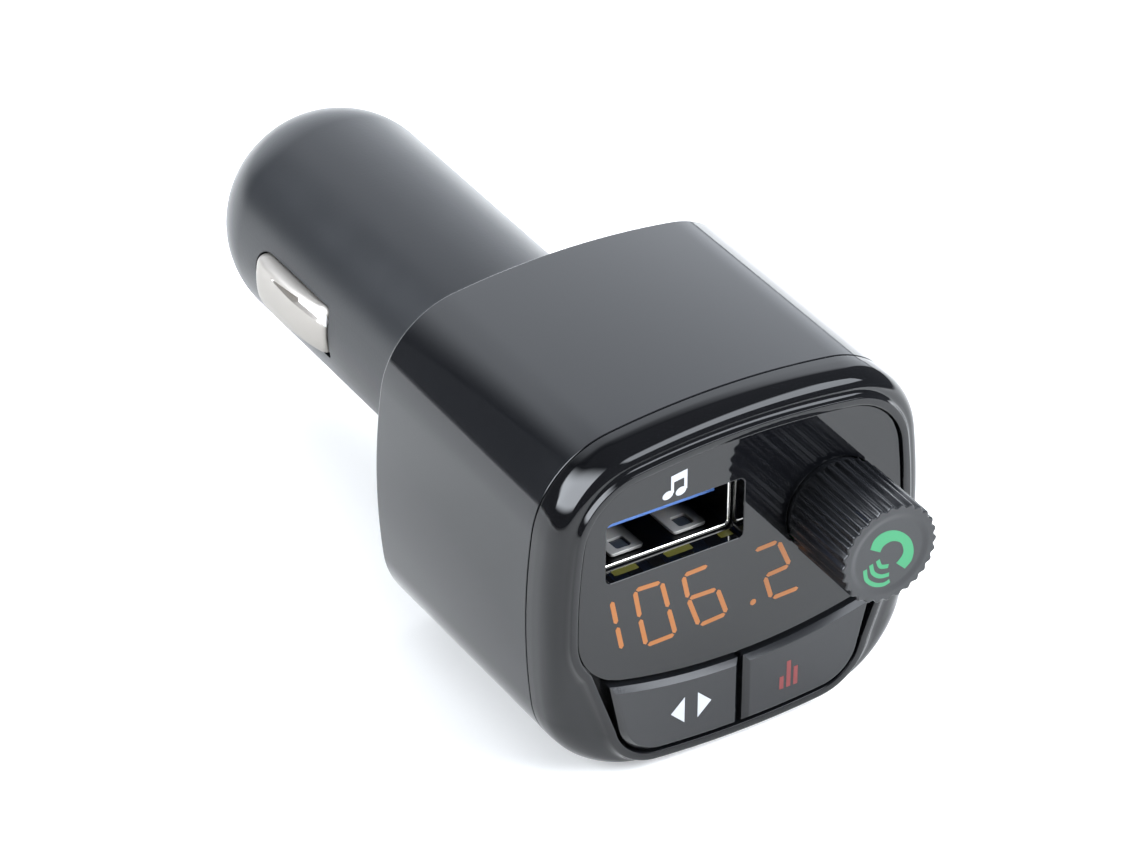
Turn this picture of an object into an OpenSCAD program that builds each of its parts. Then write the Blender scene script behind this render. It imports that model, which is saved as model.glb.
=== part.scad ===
// Car FM transmitter: a round plug for the car's power socket with a rounded-square head,
// a display window, a USB port, two keys and a turning and pressing knob on its face.
// Origin: the plug's axis, in the plane of the head's rear face. The plug points along +Y,
// the face looks along -Y, and +Z is up. All lengths are in millimetres.

/* [Head] */
// Overall width of the head
head_w = 37.1; // [36:0.1:40]
// Overall height of the head
head_h = 33.2; // [32.6:0.1:35]
// Height of the head's centre above the plug's axis
head_rise = 1.5; // [0:0.1:2]
// Radius of the slow curve on the head's left and right sides
side_bulge_r = 66; // [55:1:90]
// Radius of the slow curve on the head's top and bottom
top_bulge_r = 73; // [60:1:95]
// Radius of the head's corners
head_corner_r = 8.5; // [8:0.1:9.5]
// Length of the sleeve along the plug's axis
sleeve_len = 24.5; // [24:0.1:28]
// Wall of the sleeve
sleeve_wall = 1.5; // [1.2:0.1:1.6]
// Thickness of the sleeve's rear wall
rear_wall_t = 2.2; // [2:0.1:2.6]
// Bevel round the sleeve's rear edge
rear_bevel = 0.35; // [0.2:0.05:0.6]

/* [Front face] */
// Length of the bezel from the seam to the top of its collar
bezel_len = 4.15; // [4:0.05:4.6]
// Width of the collar's flat top
collar_w = 0.65; // [0.5:0.05:0.8]
// Open line between sleeve and bezel
seam_w = 0.12; // [0.08:0.01:0.2]
// Distance from the head's outline to the lens
lens_inset = 2.65; // [2.5:0.05:2.8]
// Thickness of the lens
lens_t = 1.5; // [1.2:0.1:1.6]
// Depth of the lens's face below the collar
lens_setback = 0.25; // [0.1:0.05:0.4]
// Bevel round the lens
lens_bevel = 0.15; // [0.1:0.05:0.5]
// Radius of the lens's lower corners
shoulder_r = 5.7; // [5.2:0.1:6.2]
// Drop of those corners' centres below the head's centre
shoulder_drop = 0.8; // [0.4:0.1:1.2]
// Radius of the lens's bowed lower edge
lens_bow_r = 48; // [44:1:60]
// Gap round the lens
lens_gap = 0.2; // [0.12:0.01:0.3]
// Thickness of the bezel's floor, which carries the lens
floor_t = 1.2; // [1:0.1:1.3]
// Thickness of the bezel's skirt inside the sleeve
skirt_t = 1; // [0.8:0.1:1.1]
// Length of that skirt behind the seam
skirt_len = 2; // [1.8:0.1:2.4]
// Clearance between skirt and sleeve
skirt_clear = 0.15; // [0.1:0.01:0.25]

/* [Keys] */
// Height of the keys' faces in front of the lens
key_proud = 0.6; // [0.4:0.05:0.9]
// Gap between the lens and the keys
key_gap = 0.45; // [0.35:0.05:0.5]
// Gap between the two keys
key_split = 0.5; // [0.4:0.05:0.7]
// Half the width of the pair of keys at their upper edge
key_top_x = 12.9; // [12.4:0.1:13.2]
// Place of the outer corners' centres to the side
key_corner_x = 7.7; // [7.4:0.1:8]
// Radius of the keys' outer corners
key_corner_r = 4.3; // [4:0.1:4.6]
// Lowest point of the keys below the head's centre
key_bottom = 15; // [14.8:0.05:15.1]
// Radius of the keys' bowed lower edge
key_bow_r = 80; // [70:1:110]
// Bevel round the keys
key_bevel = 0.45; // [0.3:0.05:0.6]
// Gap between the keys and the bezel
key_clear = 0.3; // [0.22:0.01:0.35]
// Stroke of the keys
key_travel = 0.35; // [0.2:0.05:0.4]

/* [Knob] */
// Knob's centre to the right of the head's centre
knob_x = 8.77; // [8.6:0.01:9]
// Knob's centre above the head's centre
knob_y = 4.1; // [3.9:0.1:4.6]
// Diameter of the knob
knob_d = 9.4; // [9:0.1:9.6]
// Height of the knob in front of the lens
knob_proud = 8.5; // [8:0.1:12]
// Scallops round the knob
knob_flutes = 28; // [20:1:32]
// Radius of a scallop's cutter
flute_r = 0.46; // [0.35:0.01:0.48]
// Depth of a scallop
flute_depth = 0.28; // [0.15:0.01:0.32]
// Stroke of the knob when it is pressed
knob_travel = 0.5; // [0.3:0.05:0.6]

/* [USB port] */
// Port's centre to the left of the head's centre
usb_x = 6.62; // [6.5:0.01:6.7]
// Port's centre above the head's centre
usb_y = 6.89; // [6.8:0.01:7]
// Outer width of the shell
usb_w = 13.1; // [12.9:0.05:13.3]
// Outer height of the shell
usb_h = 5.7; // [5.6:0.05:5.8]
// Sheet of the shell
usb_sheet = 0.3; // [0.25:0.05:0.35]
// Depth of the shell's mouth behind the lens's face
usb_recess = 1.8; // [1.6:0.1:2]
// Clearance round the shell in the lens and the bezel
usb_clear = 0.1; // [0.08:0.01:0.15]

/* [Display] */
// Left end of the display block from the head's centre
display_left = 13.6; // [13.4:0.1:13.8]
// Right end of the display block from the head's centre
display_right = 6.6; // [6.5:0.1:7]
// Upper edge of the display block above the head's centre
display_top = 3.1; // [3:0.05:3.2]
// Lower edge of the display block below the head's centre
display_low = 4.6; // [4.4:0.1:4.8]
// Height of a digit
digit_h = 5.9; // [5:0.1:6.2]
// Width of a digit
digit_w = 3.6; // [3.2:0.1:3.8]
// Lean of the digits to the left at the top
digit_lean = 11; // [0:1:13]

/* [Plug] */
// Diameter of the plug
plug_d = 20.8; // [20.2:0.1:21.4]
// Length of the plug from the head to the end of its dome
plug_len = 48.9; // [47.5:0.1:54]
// Length of the dome
dome_len = 9.9; // [9:0.1:10.4]
// Wall of the plug
plug_wall = 1.8; // [1.6:0.1:1.9]

/* [Contacts] */
// Near end of the side slots behind the head
slot_start = 22.6; // [22:0.1:25]
// Length of the side slots
slot_len = 13.2; // [12.8:0.1:13.4]
// Height of the side slots
slot_h = 5.4; // [5.2:0.1:5.6]
// Gap round a side contact in its slot
slot_gap = 0.2; // [0.15:0.01:0.3]
// Height of a side contact's crown above the plug's surface
contact_proud = 1.2; // [0.9:0.05:1.4]
// Sheet of the side contacts
contact_sheet = 0.5; // [0.4:0.05:0.6]
// Stroke of a side contact
contact_travel = 1; // [0.6:0.05:1.1]
// Diameter of the tip contact
tip_d = 5.4; // [5:0.1:5.8]
// Length of the tip contact outside the dome
tip_proud = 1.6; // [1.2:0.1:2.2]
// Stroke of the tip contact
tip_travel = 1.4; // [1:0.1:1.5]

/* [Hidden] */

// One overrun for every cut
cut = 0.5;
// Smoothness of round shapes
round_fn = 72;
small_fn = 32;
// Steps on each stretch of an outline
bow_steps = 4;
corner_steps = 8;
side_steps = 4;

// Levels along the plug's axis, counted from the head's rear face towards the viewer
collar_z = sleeve_len + bezel_len;
lens_z = collar_z - lens_setback;
floor_z = lens_z - lens_t;
floor_back_z = floor_z - floor_t;
key_z = lens_z + key_proud;
key_lip = 0.45;
key_lip_t = 0.6;
key_rest_gap = 0.1;
key_lip_z = floor_back_z - key_rest_gap - key_lip_t;
key_play = 0.15;
boss_len = 4.7;
board_t = 1.2;
front_board_z = floor_back_z - boss_len;
front_board_back_z = front_board_z - board_t;
usb_mouth_z = lens_z - usb_recess;
usb_len = 13.4;
power_board_z = usb_mouth_z - usb_len;
power_board_back_z = power_board_z - board_t;

// Plug
plug_r = plug_d / 2;
bore_r = plug_r - plug_wall;
dome_start = plug_len - dome_len;
nose_t = 2.5;
plug_seat_clear = 0.05;
flange_r = 12.6;
flange_t = 1.6;
lug_r = 2.4;
lug_reach = 13.4;
lug_angles = [0, 90, 180];
flange_z = rear_wall_t + flange_t;
rail_h = 0.8;
rail_w = 1.3;
rail_len = 18;
rail_clear = 0.1;
nose_guide_r = 5;
nose_guide_len = 5;

// Screws
screw_r = 0.9;
screw_head_r = 1.6;
screw_head_t = 1.2;
screw_fit = 0.03;
screw_pass = 0.2;
screw_tip_gap = 0.3;
barrel_screw_len = 3.3;
board_screw_len = 4.2;
driver_r = 0.75;
driver_depth = 0.6;

// Centres of the arcs of the head's outline, seen from the front
side_centre = [head_w / 2 - side_bulge_r, 0];
top_centre = [0, head_h / 2 - top_bulge_r];
corner_centre = meet(side_centre, side_bulge_r - head_corner_r, top_centre, top_bulge_r - head_corner_r);
side_angle = bearing(side_centre, corner_centre);
top_angle = bearing(top_centre, corner_centre);

// Posts of the sleeve, from the centres of the head's corners, and bosses of the bezel
post_r = 1.9;
post_out = 2.7263;
post_x = corner_centre.x + post_out;
post_up = 4.2145;
post_y = corner_centre.y + post_up;
boss_r = 1.7;
boss_top_inset = 4.85;
boss_y = head_h / 2 - boss_top_inset;
boss_side_inset = 9.15;
boss_mid_x = 2.6;
boss_drop = 3.4;
boss_places = [[boss_mid_x, boss_y], [boss_side_inset - head_w / 2, boss_y], [post_x, -boss_drop]];
board_gap = 0.6;

// Snap hooks between bezel and sleeve
hook_w = 5;
hook_t = 0.6;
hook_len = 0.8;
hook_tail = 0.4;
hook_clear = 0.2;

// Knob and encoder
knob_r = knob_d / 2;
knob_hole_gap = 0.25;
knob_hole_r = knob_r + knob_hole_gap;
knob_root = 2.1;
knob_z = lens_z + knob_proud;
knob_back_z = lens_z - knob_root;
knob_wall = 1.3;
knob_bevel = 0.35;
dish_r = 3.5;
dish_depth = 0.2;
shaft_r = 1.95;
shaft_flat = 1.35;
shaft_fit = 0.02;
shaft_run = 0.05;
socket_len = 3.6;
socket_roof = 1.2;
encoder_r = 4.2;
encoder_wall = 0.7;
encoder_len = 4.2;
encoder_roof = 0.6;
encoder_floor = 0.45;
encoder_z = front_board_z + encoder_len;
bush_r = 2.9;
bush_len = 5.8;
bush_thread_depth = 0.2;
bush_thread_pitch = 0.7;
push_plate_t = 0.5;
push_plate_lift = 0.65;
rotor_lift = 0.6;
rotor_t = 0.6;
part_gap = 0.05;
inner_gap = 0.4;

// Switches under the keys
switch_inset = 1.1;
switch_x = key_corner_x - switch_inset;
switch_rise = 3.8;
switch_y = switch_rise - key_bottom;
switch_w = 4.4;
switch_t = 2.2;
switch_stem_r = 1.1;
switch_stem_sink = 0.6;
switch_bore_depth = 1.3;
switch_frame_t = 0.3;

// Display
display_front_gap = 0.4;
display_clear = 0.2;
display_bite_r = knob_hole_r + part_gap;
segment_w = 0.55;
segment_gap = 0.22;
cell_depth = 0.5;
digit_mid_y = -0.7;
digit_pitch = 4.75;
first_digit_x = -8.35;
last_digit_x = 3.55;
dot_x = 1.2;
dot_y = -3.3;
dot_r = 0.35;

// USB port
usb_corner_r = 0.6;
usb_tongue_w = 11.1;
usb_tongue_t = 1.84;
usb_tongue_gap = 0.62;
usb_tongue_back = 1;
usb_base_t = 1.9;
usb_strip_w = 1;
usb_strip_t = 0.2;
usb_strip_pitch_inner = 2;
usb_strip_pitch_outer = 7;
usb_finger_w = 3.2;
usb_finger_len = 6;
usb_finger_x = 3.05;
usb_finger_lift = 4;
usb_finger_back = 0.65;
usb_finger_gap = 0.3;
usb_eye_w = 1.3;
usb_eye_back = 0.45;

// Boards and parts on them
pin_w = 0.5;
pin_pitch = 2;
pin_count = 6;
header_t = 2.5;
header_w = 2.2;
header_inset = 9.35;
header_x = head_w / 2 - header_inset;
header_y = -4.4;
chip_t = 0.9;
radio_chip_w = 5;
radio_x = -4.5;
radio_y = -6.5;
wireless_w = 11;
wireless_h = 9.5;
wireless_t = 0.8;
wireless_side_inset = 10.95;
wireless_x = wireless_side_inset - head_w / 2;
wireless_low_inset = 11.6;
wireless_y = wireless_low_inset - head_h / 2;
shield_w = 8.6;
shield_t = 1.5;
microphone_r = 2;
microphone_t = 1.5;
microphone_side_inset = 8.35;
microphone_x = head_w / 2 - microphone_side_inset;
microphone_top_inset = 5.4;
microphone_y = head_h / 2 - microphone_top_inset;
can_r = 3.15;
can_len = 5.8;
can_groove = 0.25;
can_post_x = 4.3;
input_can_x = can_post_x - post_x;
output_can_x = post_x - can_post_x;
can_post_y = 4.2;
can_y = post_y - can_post_y;
barrel_board_w = 16.2;
barrel_board_waist = 10.8;
waist_margin = 1.2;
barrel_board_tail = 39.4;
core_r = 3.9;
core_waist_r = 2.6;
core_h = 4.8;
core_rim = 0.9;
core_at = 8;
regulator_w = 4;
regulator_at = 16.4;
fuse_len = 3.2;
fuse_w = 1.6;
fuse_t = 0.9;
fuse_at = 35.8;

// Tip contact and its spring
tip_r = tip_d / 2;
tip_run = 0.08;
tip_flange_r = 3.6;
tip_flange_t = 0.8;
tip_flange_gap = 0.1;
tip_round = 1.2;
spring_wire_r = 0.25;
spring_r = 2.5;
spring_turns = 6;
spring_sides = 6;
spring_rings = 12;
seat_r = 3.3;
seat_t = 0.7;
seat_slot = 1.3;

// Side contacts
contact_half_len = slot_len / 2 - slot_gap;
contact_half_h = slot_h / 2 - slot_gap;
contact_mid = slot_start + slot_len / 2;
contact_end_dip = 1.1;
contact_corner_r = 0.6;
contact_flange_out = 7.5;
contact_flange_h = 3.7;
contact_flange_len = 0.9;
vee_share = 0.66;
vee_half_h = 1.1;
vee_rise = 0.8;
vee_depth = 0.8;
leaf_w = 3;
leaf_half_len = 4.6;

// Centres of the arcs of the lens's lower edge
shoulder_reach = side_bulge_r - lens_inset - shoulder_r;
shoulder_angle = -asin(shoulder_drop / shoulder_reach);
shoulder_centre = side_centre + shoulder_reach * [cos(shoulder_angle), sin(shoulder_angle)];
bow_centre = [0, shoulder_centre.y + sqrt(pow(lens_bow_r - shoulder_r, 2) - pow(shoulder_centre.x, 2))];
bow_angle = bearing(bow_centre, shoulder_centre);

// Centres of the arcs of the keys' outline
key_bow_centre = [0, key_bow_r - key_bottom];
key_corner_drop = sqrt(pow(key_bow_r - key_corner_r, 2) - pow(key_corner_x, 2));
key_corner_centre = [key_corner_x, key_bow_centre.y - key_corner_drop];
key_bow_angle = bearing(key_bow_centre, key_corner_centre);
key_corner_end = -8;
shoulder_end = -40;

// Height and inset of the bezel's section, from the seam to the top of the collar
bezel_inset_shares = [0, 0, 0.05, 0.14, 0.27, 0.43, 0.60, 0.76, 0.86, 0.93, 0.97, 1];
bezel_rise_shares = [0, 0.26, 0.46, 0.60, 0.71, 0.79, 0.835, 0.86, 0.885, 0.93, 0.975, 1];

// Bearing of one point from another
function bearing(from, to) = atan2(to.y - from.y, to.x - from.x);

// The point that lies ra from a and rb from b, on the left of the way from a to b
function meet(a, ra, b, rb) =
  let (way = b - a, far = norm(way), along = (ra * ra - rb * rb + far * far) / (2 * far))
  a + along * way / far + sqrt(ra * ra - along * along) * [-way.y, way.x] / far;

// Points of an arc, without its last point
function arc(centre, r, from, to, steps) =
  [for (i = [0 : steps - 1]) let (a = from + (to - from) * i / steps) centre + r * [cos(a), sin(a)]];

// A whole outline from its right half, which runs from the bottom up
function both_sides(half, top) =
  concat(half, [[0, top]], [for (i = [len(half) - 1 : -1 : 1]) [-half[i].x, half[i].y]]);

// Upper right quarter of the head's outline, moved inward by inset
function upper_quarter(inset, from) = concat(
  arc(side_centre, side_bulge_r - inset, from, side_angle, side_steps),
  arc(corner_centre, head_corner_r - inset, side_angle, top_angle, corner_steps),
  arc(top_centre, top_bulge_r - inset, top_angle, 90, bow_steps));

// Head's outline, moved inward by inset
function head_outline(inset) = both_sides(concat(
  arc(-top_centre, top_bulge_r - inset, -90, -top_angle, bow_steps),
  arc([corner_centre.x, -corner_centre.y], head_corner_r - inset, -top_angle, -side_angle, corner_steps),
  arc(side_centre, side_bulge_r - inset, -side_angle, 0, side_steps),
  upper_quarter(inset, 0)), head_h / 2 - inset);

// Lens's outline, moved outward by grow
function lens_outline(grow) = both_sides(concat(
  arc(bow_centre, lens_bow_r + grow, -90, bow_angle, corner_steps),
  arc(shoulder_centre, shoulder_r + grow, bow_angle, shoulder_angle, corner_steps),
  upper_quarter(lens_inset - grow, shoulder_angle)), head_h / 2 - lens_inset + grow);

// Outline round lens and keys together, moved outward by grow from the lens
function face_outline(grow) = both_sides(concat(
  arc(key_bow_centre, key_bow_r + key_clear - lens_gap + grow, -90, key_bow_angle, bow_steps),
  arc(key_corner_centre, key_corner_r + key_clear - lens_gap + grow, key_bow_angle, key_corner_end, corner_steps),
  arc(shoulder_centre, shoulder_r + grow, shoulder_end, shoulder_angle, side_steps),
  upper_quarter(lens_inset - grow, shoulder_angle)), head_h / 2 - lens_inset + grow);

// Right key's outline, moved outward by grow, with its inner side at x = inner
function key_outline(grow, inner) =
  let (top_r = lens_bow_r + key_gap - grow,
       low_r = key_bow_r + grow,
       low_from = -90 + asin(inner / low_r),
       top_from = -90 + asin((key_top_x + grow) / top_r),
       top_to = -90 + asin(inner / top_r))
  concat(
    arc(key_bow_centre, low_r, low_from, key_bow_angle, corner_steps),
    arc(key_corner_centre, key_corner_r + grow, key_bow_angle, key_corner_end, corner_steps),
    [key_corner_centre + (key_corner_r + grow) * [cos(key_corner_end), sin(key_corner_end)]],
    arc(bow_centre, top_r, top_from, top_to, corner_steps),
    [bow_centre + top_r * [cos(top_to), sin(top_to)]]);

// Rectangle with round corners, about its own centre
function round_rect(w, h, r) = concat(
  arc([w / 2 - r, r - h / 2], r, -90, 0, corner_steps), [[w / 2, r - h / 2]],
  arc([w / 2 - r, h / 2 - r], r, 0, 90, corner_steps), [[w / 2 - r, h / 2]],
  arc([r - w / 2, h / 2 - r], r, 90, 180, corner_steps), [[-w / 2, h / 2 - r]],
  arc([r - w / 2, r - h / 2], r, 180, 270, corner_steps), [[r - w / 2, -h / 2]]);

function at_level(outline, z) = [for (p = outline) [p.x, p.y, z]];

// Stands what is drawn facing the viewer into the part's frame
module facing() {
  rotate([90, 0, 0]) children();
}

// The same, from the head's centre
module on_head() {
  facing() translate([0, head_rise, 0]) children();
}

// Solid between two levels with a given outline
module slab(outline, from, to) {
  translate([0, 0, from]) linear_extrude(to - from) polygon(outline);
}

// Round bar between two levels
module bar(r, from, to, fn = round_fn) {
  translate([0, 0, from]) cylinder(r = r, h = to - from, $fn = fn);
}

// Box about x and y, between two levels
module block(w, h, from, to) {
  translate([-w / 2, -h / 2, from]) cube([w, h, to - from]);
}

// Skin through a stack of outlines of equal counts
module loft(rings) {
  n = len(rings[0]);
  last = (len(rings) - 1) * n;
  polyhedron(
    points = [for (ring = rings) each ring],
    faces = concat(
      [[for (i = [0 : n - 1]) i]],
      [[for (i = [n - 1 : -1 : 0]) last + i]],
      [for (k = [0 : len(rings) - 2]) for (i = [0 : n - 1])
        let (a = k * n + i, b = k * n + (i + 1) % n) each [[a, a + n, b + n], [a, b + n, b]]]));
}

module at_knob() {
  on_head() translate([knob_x, knob_y, 0]) children();
}

module at_usb() {
  on_head() translate([-usb_x, usb_y, 0]) children();
}

// Something for the right key, and its mirror image for the left one
module on_side(side) {
  on_head() mirror([side < 0 ? 1 : 0, 0, 0]) children();
}

module at_posts() {
  for (x = [-post_x, post_x], y = [-post_y, post_y]) translate([x, y, 0]) children();
}

module at_bosses() {
  for (p = boss_places) translate([p.x, p.y, 0]) children();
}

module at_lugs() {
  for (a = lug_angles) rotate([0, 0, a]) translate([lug_reach, 0, 0]) children();
}

// Plug: a tube with a domed nose, a hole for the tip, two side slots, and a flange that
// lies inside the head against its rear wall
module plug_barrel() {
  color("#1c1d1f") facing() difference() {
    union() {
      rotate_extrude($fn = round_fn) plug_section();
      at_lugs() bar(lug_r, rear_wall_t, flange_z, small_fn);
      intersection() {
        bar(bore_r + plug_wall / 2, -rail_len, 0);
        for (x = [-1, 1], y = [-1, 1])
          translate([x * (bore_r - rail_w / 2), y * (board_t / 2 + rail_clear + rail_h / 2), 0])
            block(rail_w + plug_wall, rail_h, -rail_len, 0);
      }
    }
    at_lugs() bar(screw_r + screw_pass, rear_wall_t - cut, flange_z + cut, small_fn);
    for (side = [0, 1]) mirror([side, 0, 0]) side_slot();
  }
}

// Half section of the plug: radius to the right, the axis upward, the nose at the bottom
module plug_section() {
  nose = -plug_len;
  inner_nose = nose + nose_t;
  inner_r = bore_r;
  hole_r = tip_r + tip_run;
  outer = [for (i = [0 : corner_steps * 2]) let (a = 90 * i / (corner_steps * 2))
    if (plug_r * sin(a) > hole_r) [plug_r * sin(a), -dome_start - dome_len * cos(a)]];
  dome_inner = [for (i = [corner_steps : -1 : 0]) let (a = 90 * i / corner_steps)
    if (inner_r * sin(a) > nose_guide_r)
      [inner_r * sin(a), -dome_start - (dome_len - nose_t) * cos(a)]];
  polygon(concat(
    [[hole_r, nose + dome_len * (1 - sqrt(1 - pow(hole_r / plug_r, 2)))]],
    outer,
    [[plug_r, rear_wall_t], [flange_r, rear_wall_t], [flange_r, flange_z], [inner_r, flange_z]],
    dome_inner,
    [[nose_guide_r, inner_nose + nose_guide_len], [tip_flange_r + tip_run * 2, inner_nose + nose_guide_len],
     [tip_flange_r + tip_run * 2, inner_nose], [hole_r, inner_nose]]));
}

// Cutter of one side slot: square near the head, round near the nose
module side_slot() {
  rotate([0, 90, 0]) translate([slot_start, 0, 0])
    linear_extrude(plug_r + cut) slot_outline(slot_len, slot_h, contact_corner_r);
}

// Slot outline from its square end, along +x
module slot_outline(length, height, corner) {
  r = height / 2;
  translate([length - r, 0]) circle(r, $fn = round_fn);
  translate([corner, -r]) square([length - r - corner, height]);
  translate([0, corner - r]) square([2 * corner, height - 2 * corner]);
  for (y = [corner - r, r - corner]) translate([corner, y]) circle(corner, $fn = small_fn);
}

// Sleeve: the head's outer shell, with a rear wall for the plug and posts for a board
module head_sleeve() {
  color("#26272a") on_head() difference() {
    union() {
      difference() {
        loft([at_level(head_outline(rear_bevel), 0), at_level(head_outline(0), rear_bevel),
              at_level(head_outline(0), sleeve_len)]);
        slab(head_outline(sleeve_wall), rear_wall_t, sleeve_len + cut);
      }
      at_posts() bar(post_r, rear_wall_t, power_board_back_z, small_fn);
    }
    translate([0, -head_rise, 0]) {
      bar(plug_r + plug_seat_clear, -cut, rear_wall_t + cut);
      at_lugs() bar(screw_r + screw_fit, flange_z - barrel_screw_len - screw_tip_gap, rear_wall_t + cut, small_fn);
    }
    at_posts() bar(screw_r + screw_fit, power_board_z - board_screw_len - screw_tip_gap,
      power_board_back_z + cut, small_fn);
    at_hooks(hook_clear);
  }
}

// The four snap hooks of the bezel's skirt, or their pockets with a clearance
module at_hooks(grow) {
  skirt_inset = sleeve_wall + skirt_clear;
  low = sleeve_len - skirt_len + hook_tail - grow;
  high = low + hook_len + 2 * grow;
  for (way = [0, 180]) rotate([0, 0, way]) {
    translate([0, head_h / 2 - skirt_inset + (hook_t + grow - skirt_t) / 2, 0])
      block(hook_w + 2 * grow, hook_t + grow + skirt_t, low, high);
    translate([head_w / 2 - skirt_inset + (hook_t + grow - skirt_t) / 2, 0, 0])
      block(hook_t + grow + skirt_t, hook_w + 2 * grow, low, high);
  }
}

// Bezel: one section swept round the face, from the seam over a round edge to a raised
// collar, with a floor for the lens, a skirt with hooks, and bosses for the front board
module front_bezel() {
  outer = head_outline(0);
  rim = face_outline(lens_gap + collar_w);
  low = sleeve_len + seam_w;
  rise = collar_z - low;
  rings = [for (k = [0 : len(bezel_inset_shares) - 1])
    at_level(outer + bezel_inset_shares[k] * (rim - outer), low + bezel_rise_shares[k] * rise)];
  skirt_inset = sleeve_wall + skirt_clear;
  color("#0d0e10") on_head() difference() {
    union() {
      difference() {
        union() {
          loft(rings);
          slab(head_outline(skirt_inset), sleeve_len - skirt_len, low + seam_w);
          intersection() {
            at_hooks(0);
            slab(head_outline(skirt_inset - hook_t), sleeve_len - skirt_len, sleeve_len);
          }
        }
        slab(head_outline(skirt_inset + skirt_t), sleeve_len - skirt_len - cut, floor_back_z);
        slab(face_outline(lens_gap), floor_z, collar_z + cut);
      }
      at_bosses() bar(boss_r, front_board_z, floor_back_z + cut, small_fn);
    }
    at_bosses() bar(screw_r + screw_fit, front_board_z - cut,
      front_board_back_z + board_screw_len + screw_tip_gap, small_fn);
    display_window(display_clear);
    translate([-usb_x, usb_y, 0]) usb_hole();
    translate([knob_x, knob_y, 0]) bar(knob_hole_r, floor_back_z - cut, floor_z + cut);
    for (side = [0, 1]) mirror([side, 0, 0]) {
      slab(key_outline(key_clear, -part_gap), floor_back_z - cut, floor_z + cut);
      slab(key_outline(key_lip + key_clear, -part_gap), key_lip_z - key_travel - key_play, floor_back_z);
    }
  }
}

module usb_hole() {
  slab(round_rect(usb_w + 2 * usb_clear, usb_h + 2 * usb_clear, usb_corner_r), floor_back_z - cut, lens_z + cut);
}

// Cutter for the display block, with its bite for the knob
module display_window(grow) {
  difference() {
    translate([-display_left - grow, -display_low - grow, floor_back_z - cut])
      cube([display_left + display_right + 2 * grow, display_low + display_top + 2 * grow,
            floor_t + 2 * cut]);
    translate([knob_x, knob_y, 0])
      bar(display_bite_r - grow, floor_back_z - 2 * cut, floor_z + 2 * cut);
  }
}

// Lens: smoked window with a bevelled rim, cut out for the port and the knob
module display_lens() {
  color("#2b2d31") on_head() difference() {
    loft([at_level(lens_outline(0), floor_z), at_level(lens_outline(0), lens_z - lens_bevel),
          at_level(lens_outline(-lens_bevel), lens_z)]);
    translate([-usb_x, usb_y, 0]) usb_hole();
    translate([knob_x, knob_y, 0]) bar(knob_hole_r, floor_z - cut, lens_z + cut);
  }
}

// Key: a bevelled cap with a lip that holds it behind the bezel's floor
module key(side) {
  inner = key_split / 2;
  color("#1f2023") on_side(side) {
    loft([at_level(key_outline(0, inner), floor_back_z - key_rest_gap),
          at_level(key_outline(0, inner), key_z - key_bevel),
          at_level(key_outline(-key_bevel, inner + key_bevel), key_z)]);
    slab(key_outline(key_lip, inner), key_lip_z, floor_back_z - key_rest_gap);
  }
}

module left_key() {
  key(-1);
}

module right_key() {
  key(1);
}

// Knob: a fluted cap with a dished front, hollow round the bush, with a flat-sided socket
module knob() {
  socket_z = knob_z - socket_roof - socket_len;
  color("#191a1c") at_knob() difference() {
    union() {
      bar(knob_r, knob_back_z, knob_z - knob_bevel);
      translate([0, 0, knob_z - knob_bevel])
        cylinder(r1 = knob_r, r2 = knob_r - knob_bevel, h = knob_bevel, $fn = round_fn);
    }
    bar(dish_r, knob_z - dish_depth, knob_z + cut);
    bar(knob_r - knob_wall, knob_back_z - cut, socket_z);
    shaft_form(shaft_r + shaft_fit, socket_z - cut, socket_z + socket_len, shaft_flat + shaft_fit);
    for (i = [0 : knob_flutes - 1]) rotate([0, 0, 360 * i / knob_flutes])
      translate([knob_r + flute_r - flute_depth, 0, 0]) bar(flute_r, floor_z, knob_z + cut, small_fn);
  }
}

// Round bar with one flat side
module shaft_form(r, from, to, flat) {
  intersection() {
    bar(r, from, to);
    translate([0, r / 2 - flat / 2, 0]) block(2 * r, r + flat, from, to);
  }
}

// Shaft: turns in the bush, with a rotor disc inside the encoder's case
module encoder_shaft() {
  plate_top = front_board_z + encoder_floor + push_plate_lift + push_plate_t;
  rotor_z = plate_top + rotor_lift;
  flat_z = encoder_z + bush_len + inner_gap;
  color("silver") at_knob() {
    bar(shaft_r, plate_top + part_gap, flat_z);
    bar(bush_r, rotor_z, rotor_z + rotor_t);
    shaft_form(shaft_r, flat_z - part_gap, knob_z - socket_roof - part_gap, shaft_flat);
  }
}

// Bush: the encoder's threaded neck, inside the knob
module encoder_bush() {
  grooves = floor((bush_len - 2 * bush_thread_pitch) / bush_thread_pitch);
  color("#b08d4a") at_knob() difference() {
    bar(bush_r, encoder_z, encoder_z + bush_len);
    bar(shaft_r + shaft_run, encoder_z - cut, encoder_z + bush_len + cut);
    for (i = [1 : grooves]) translate([0, 0, encoder_z + (i + 1 / 2) * bush_thread_pitch])
      rotate_extrude($fn = round_fn)
        polygon([[bush_r + part_gap, -bush_thread_pitch / 3], [bush_r + part_gap, bush_thread_pitch / 3],
                 [bush_r - bush_thread_depth, 0]]);
  }
}

// Encoder's case, hollow for the rotor and the push plate
module encoder_body() {
  color("#3a3c40") at_knob() difference() {
    bar(encoder_r, front_board_z, encoder_z);
    bar(encoder_r - encoder_wall, front_board_z + encoder_floor, encoder_z - encoder_roof);
    bar(shaft_r + shaft_run, encoder_z - encoder_roof - cut, encoder_z + cut);
  }
}

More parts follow.
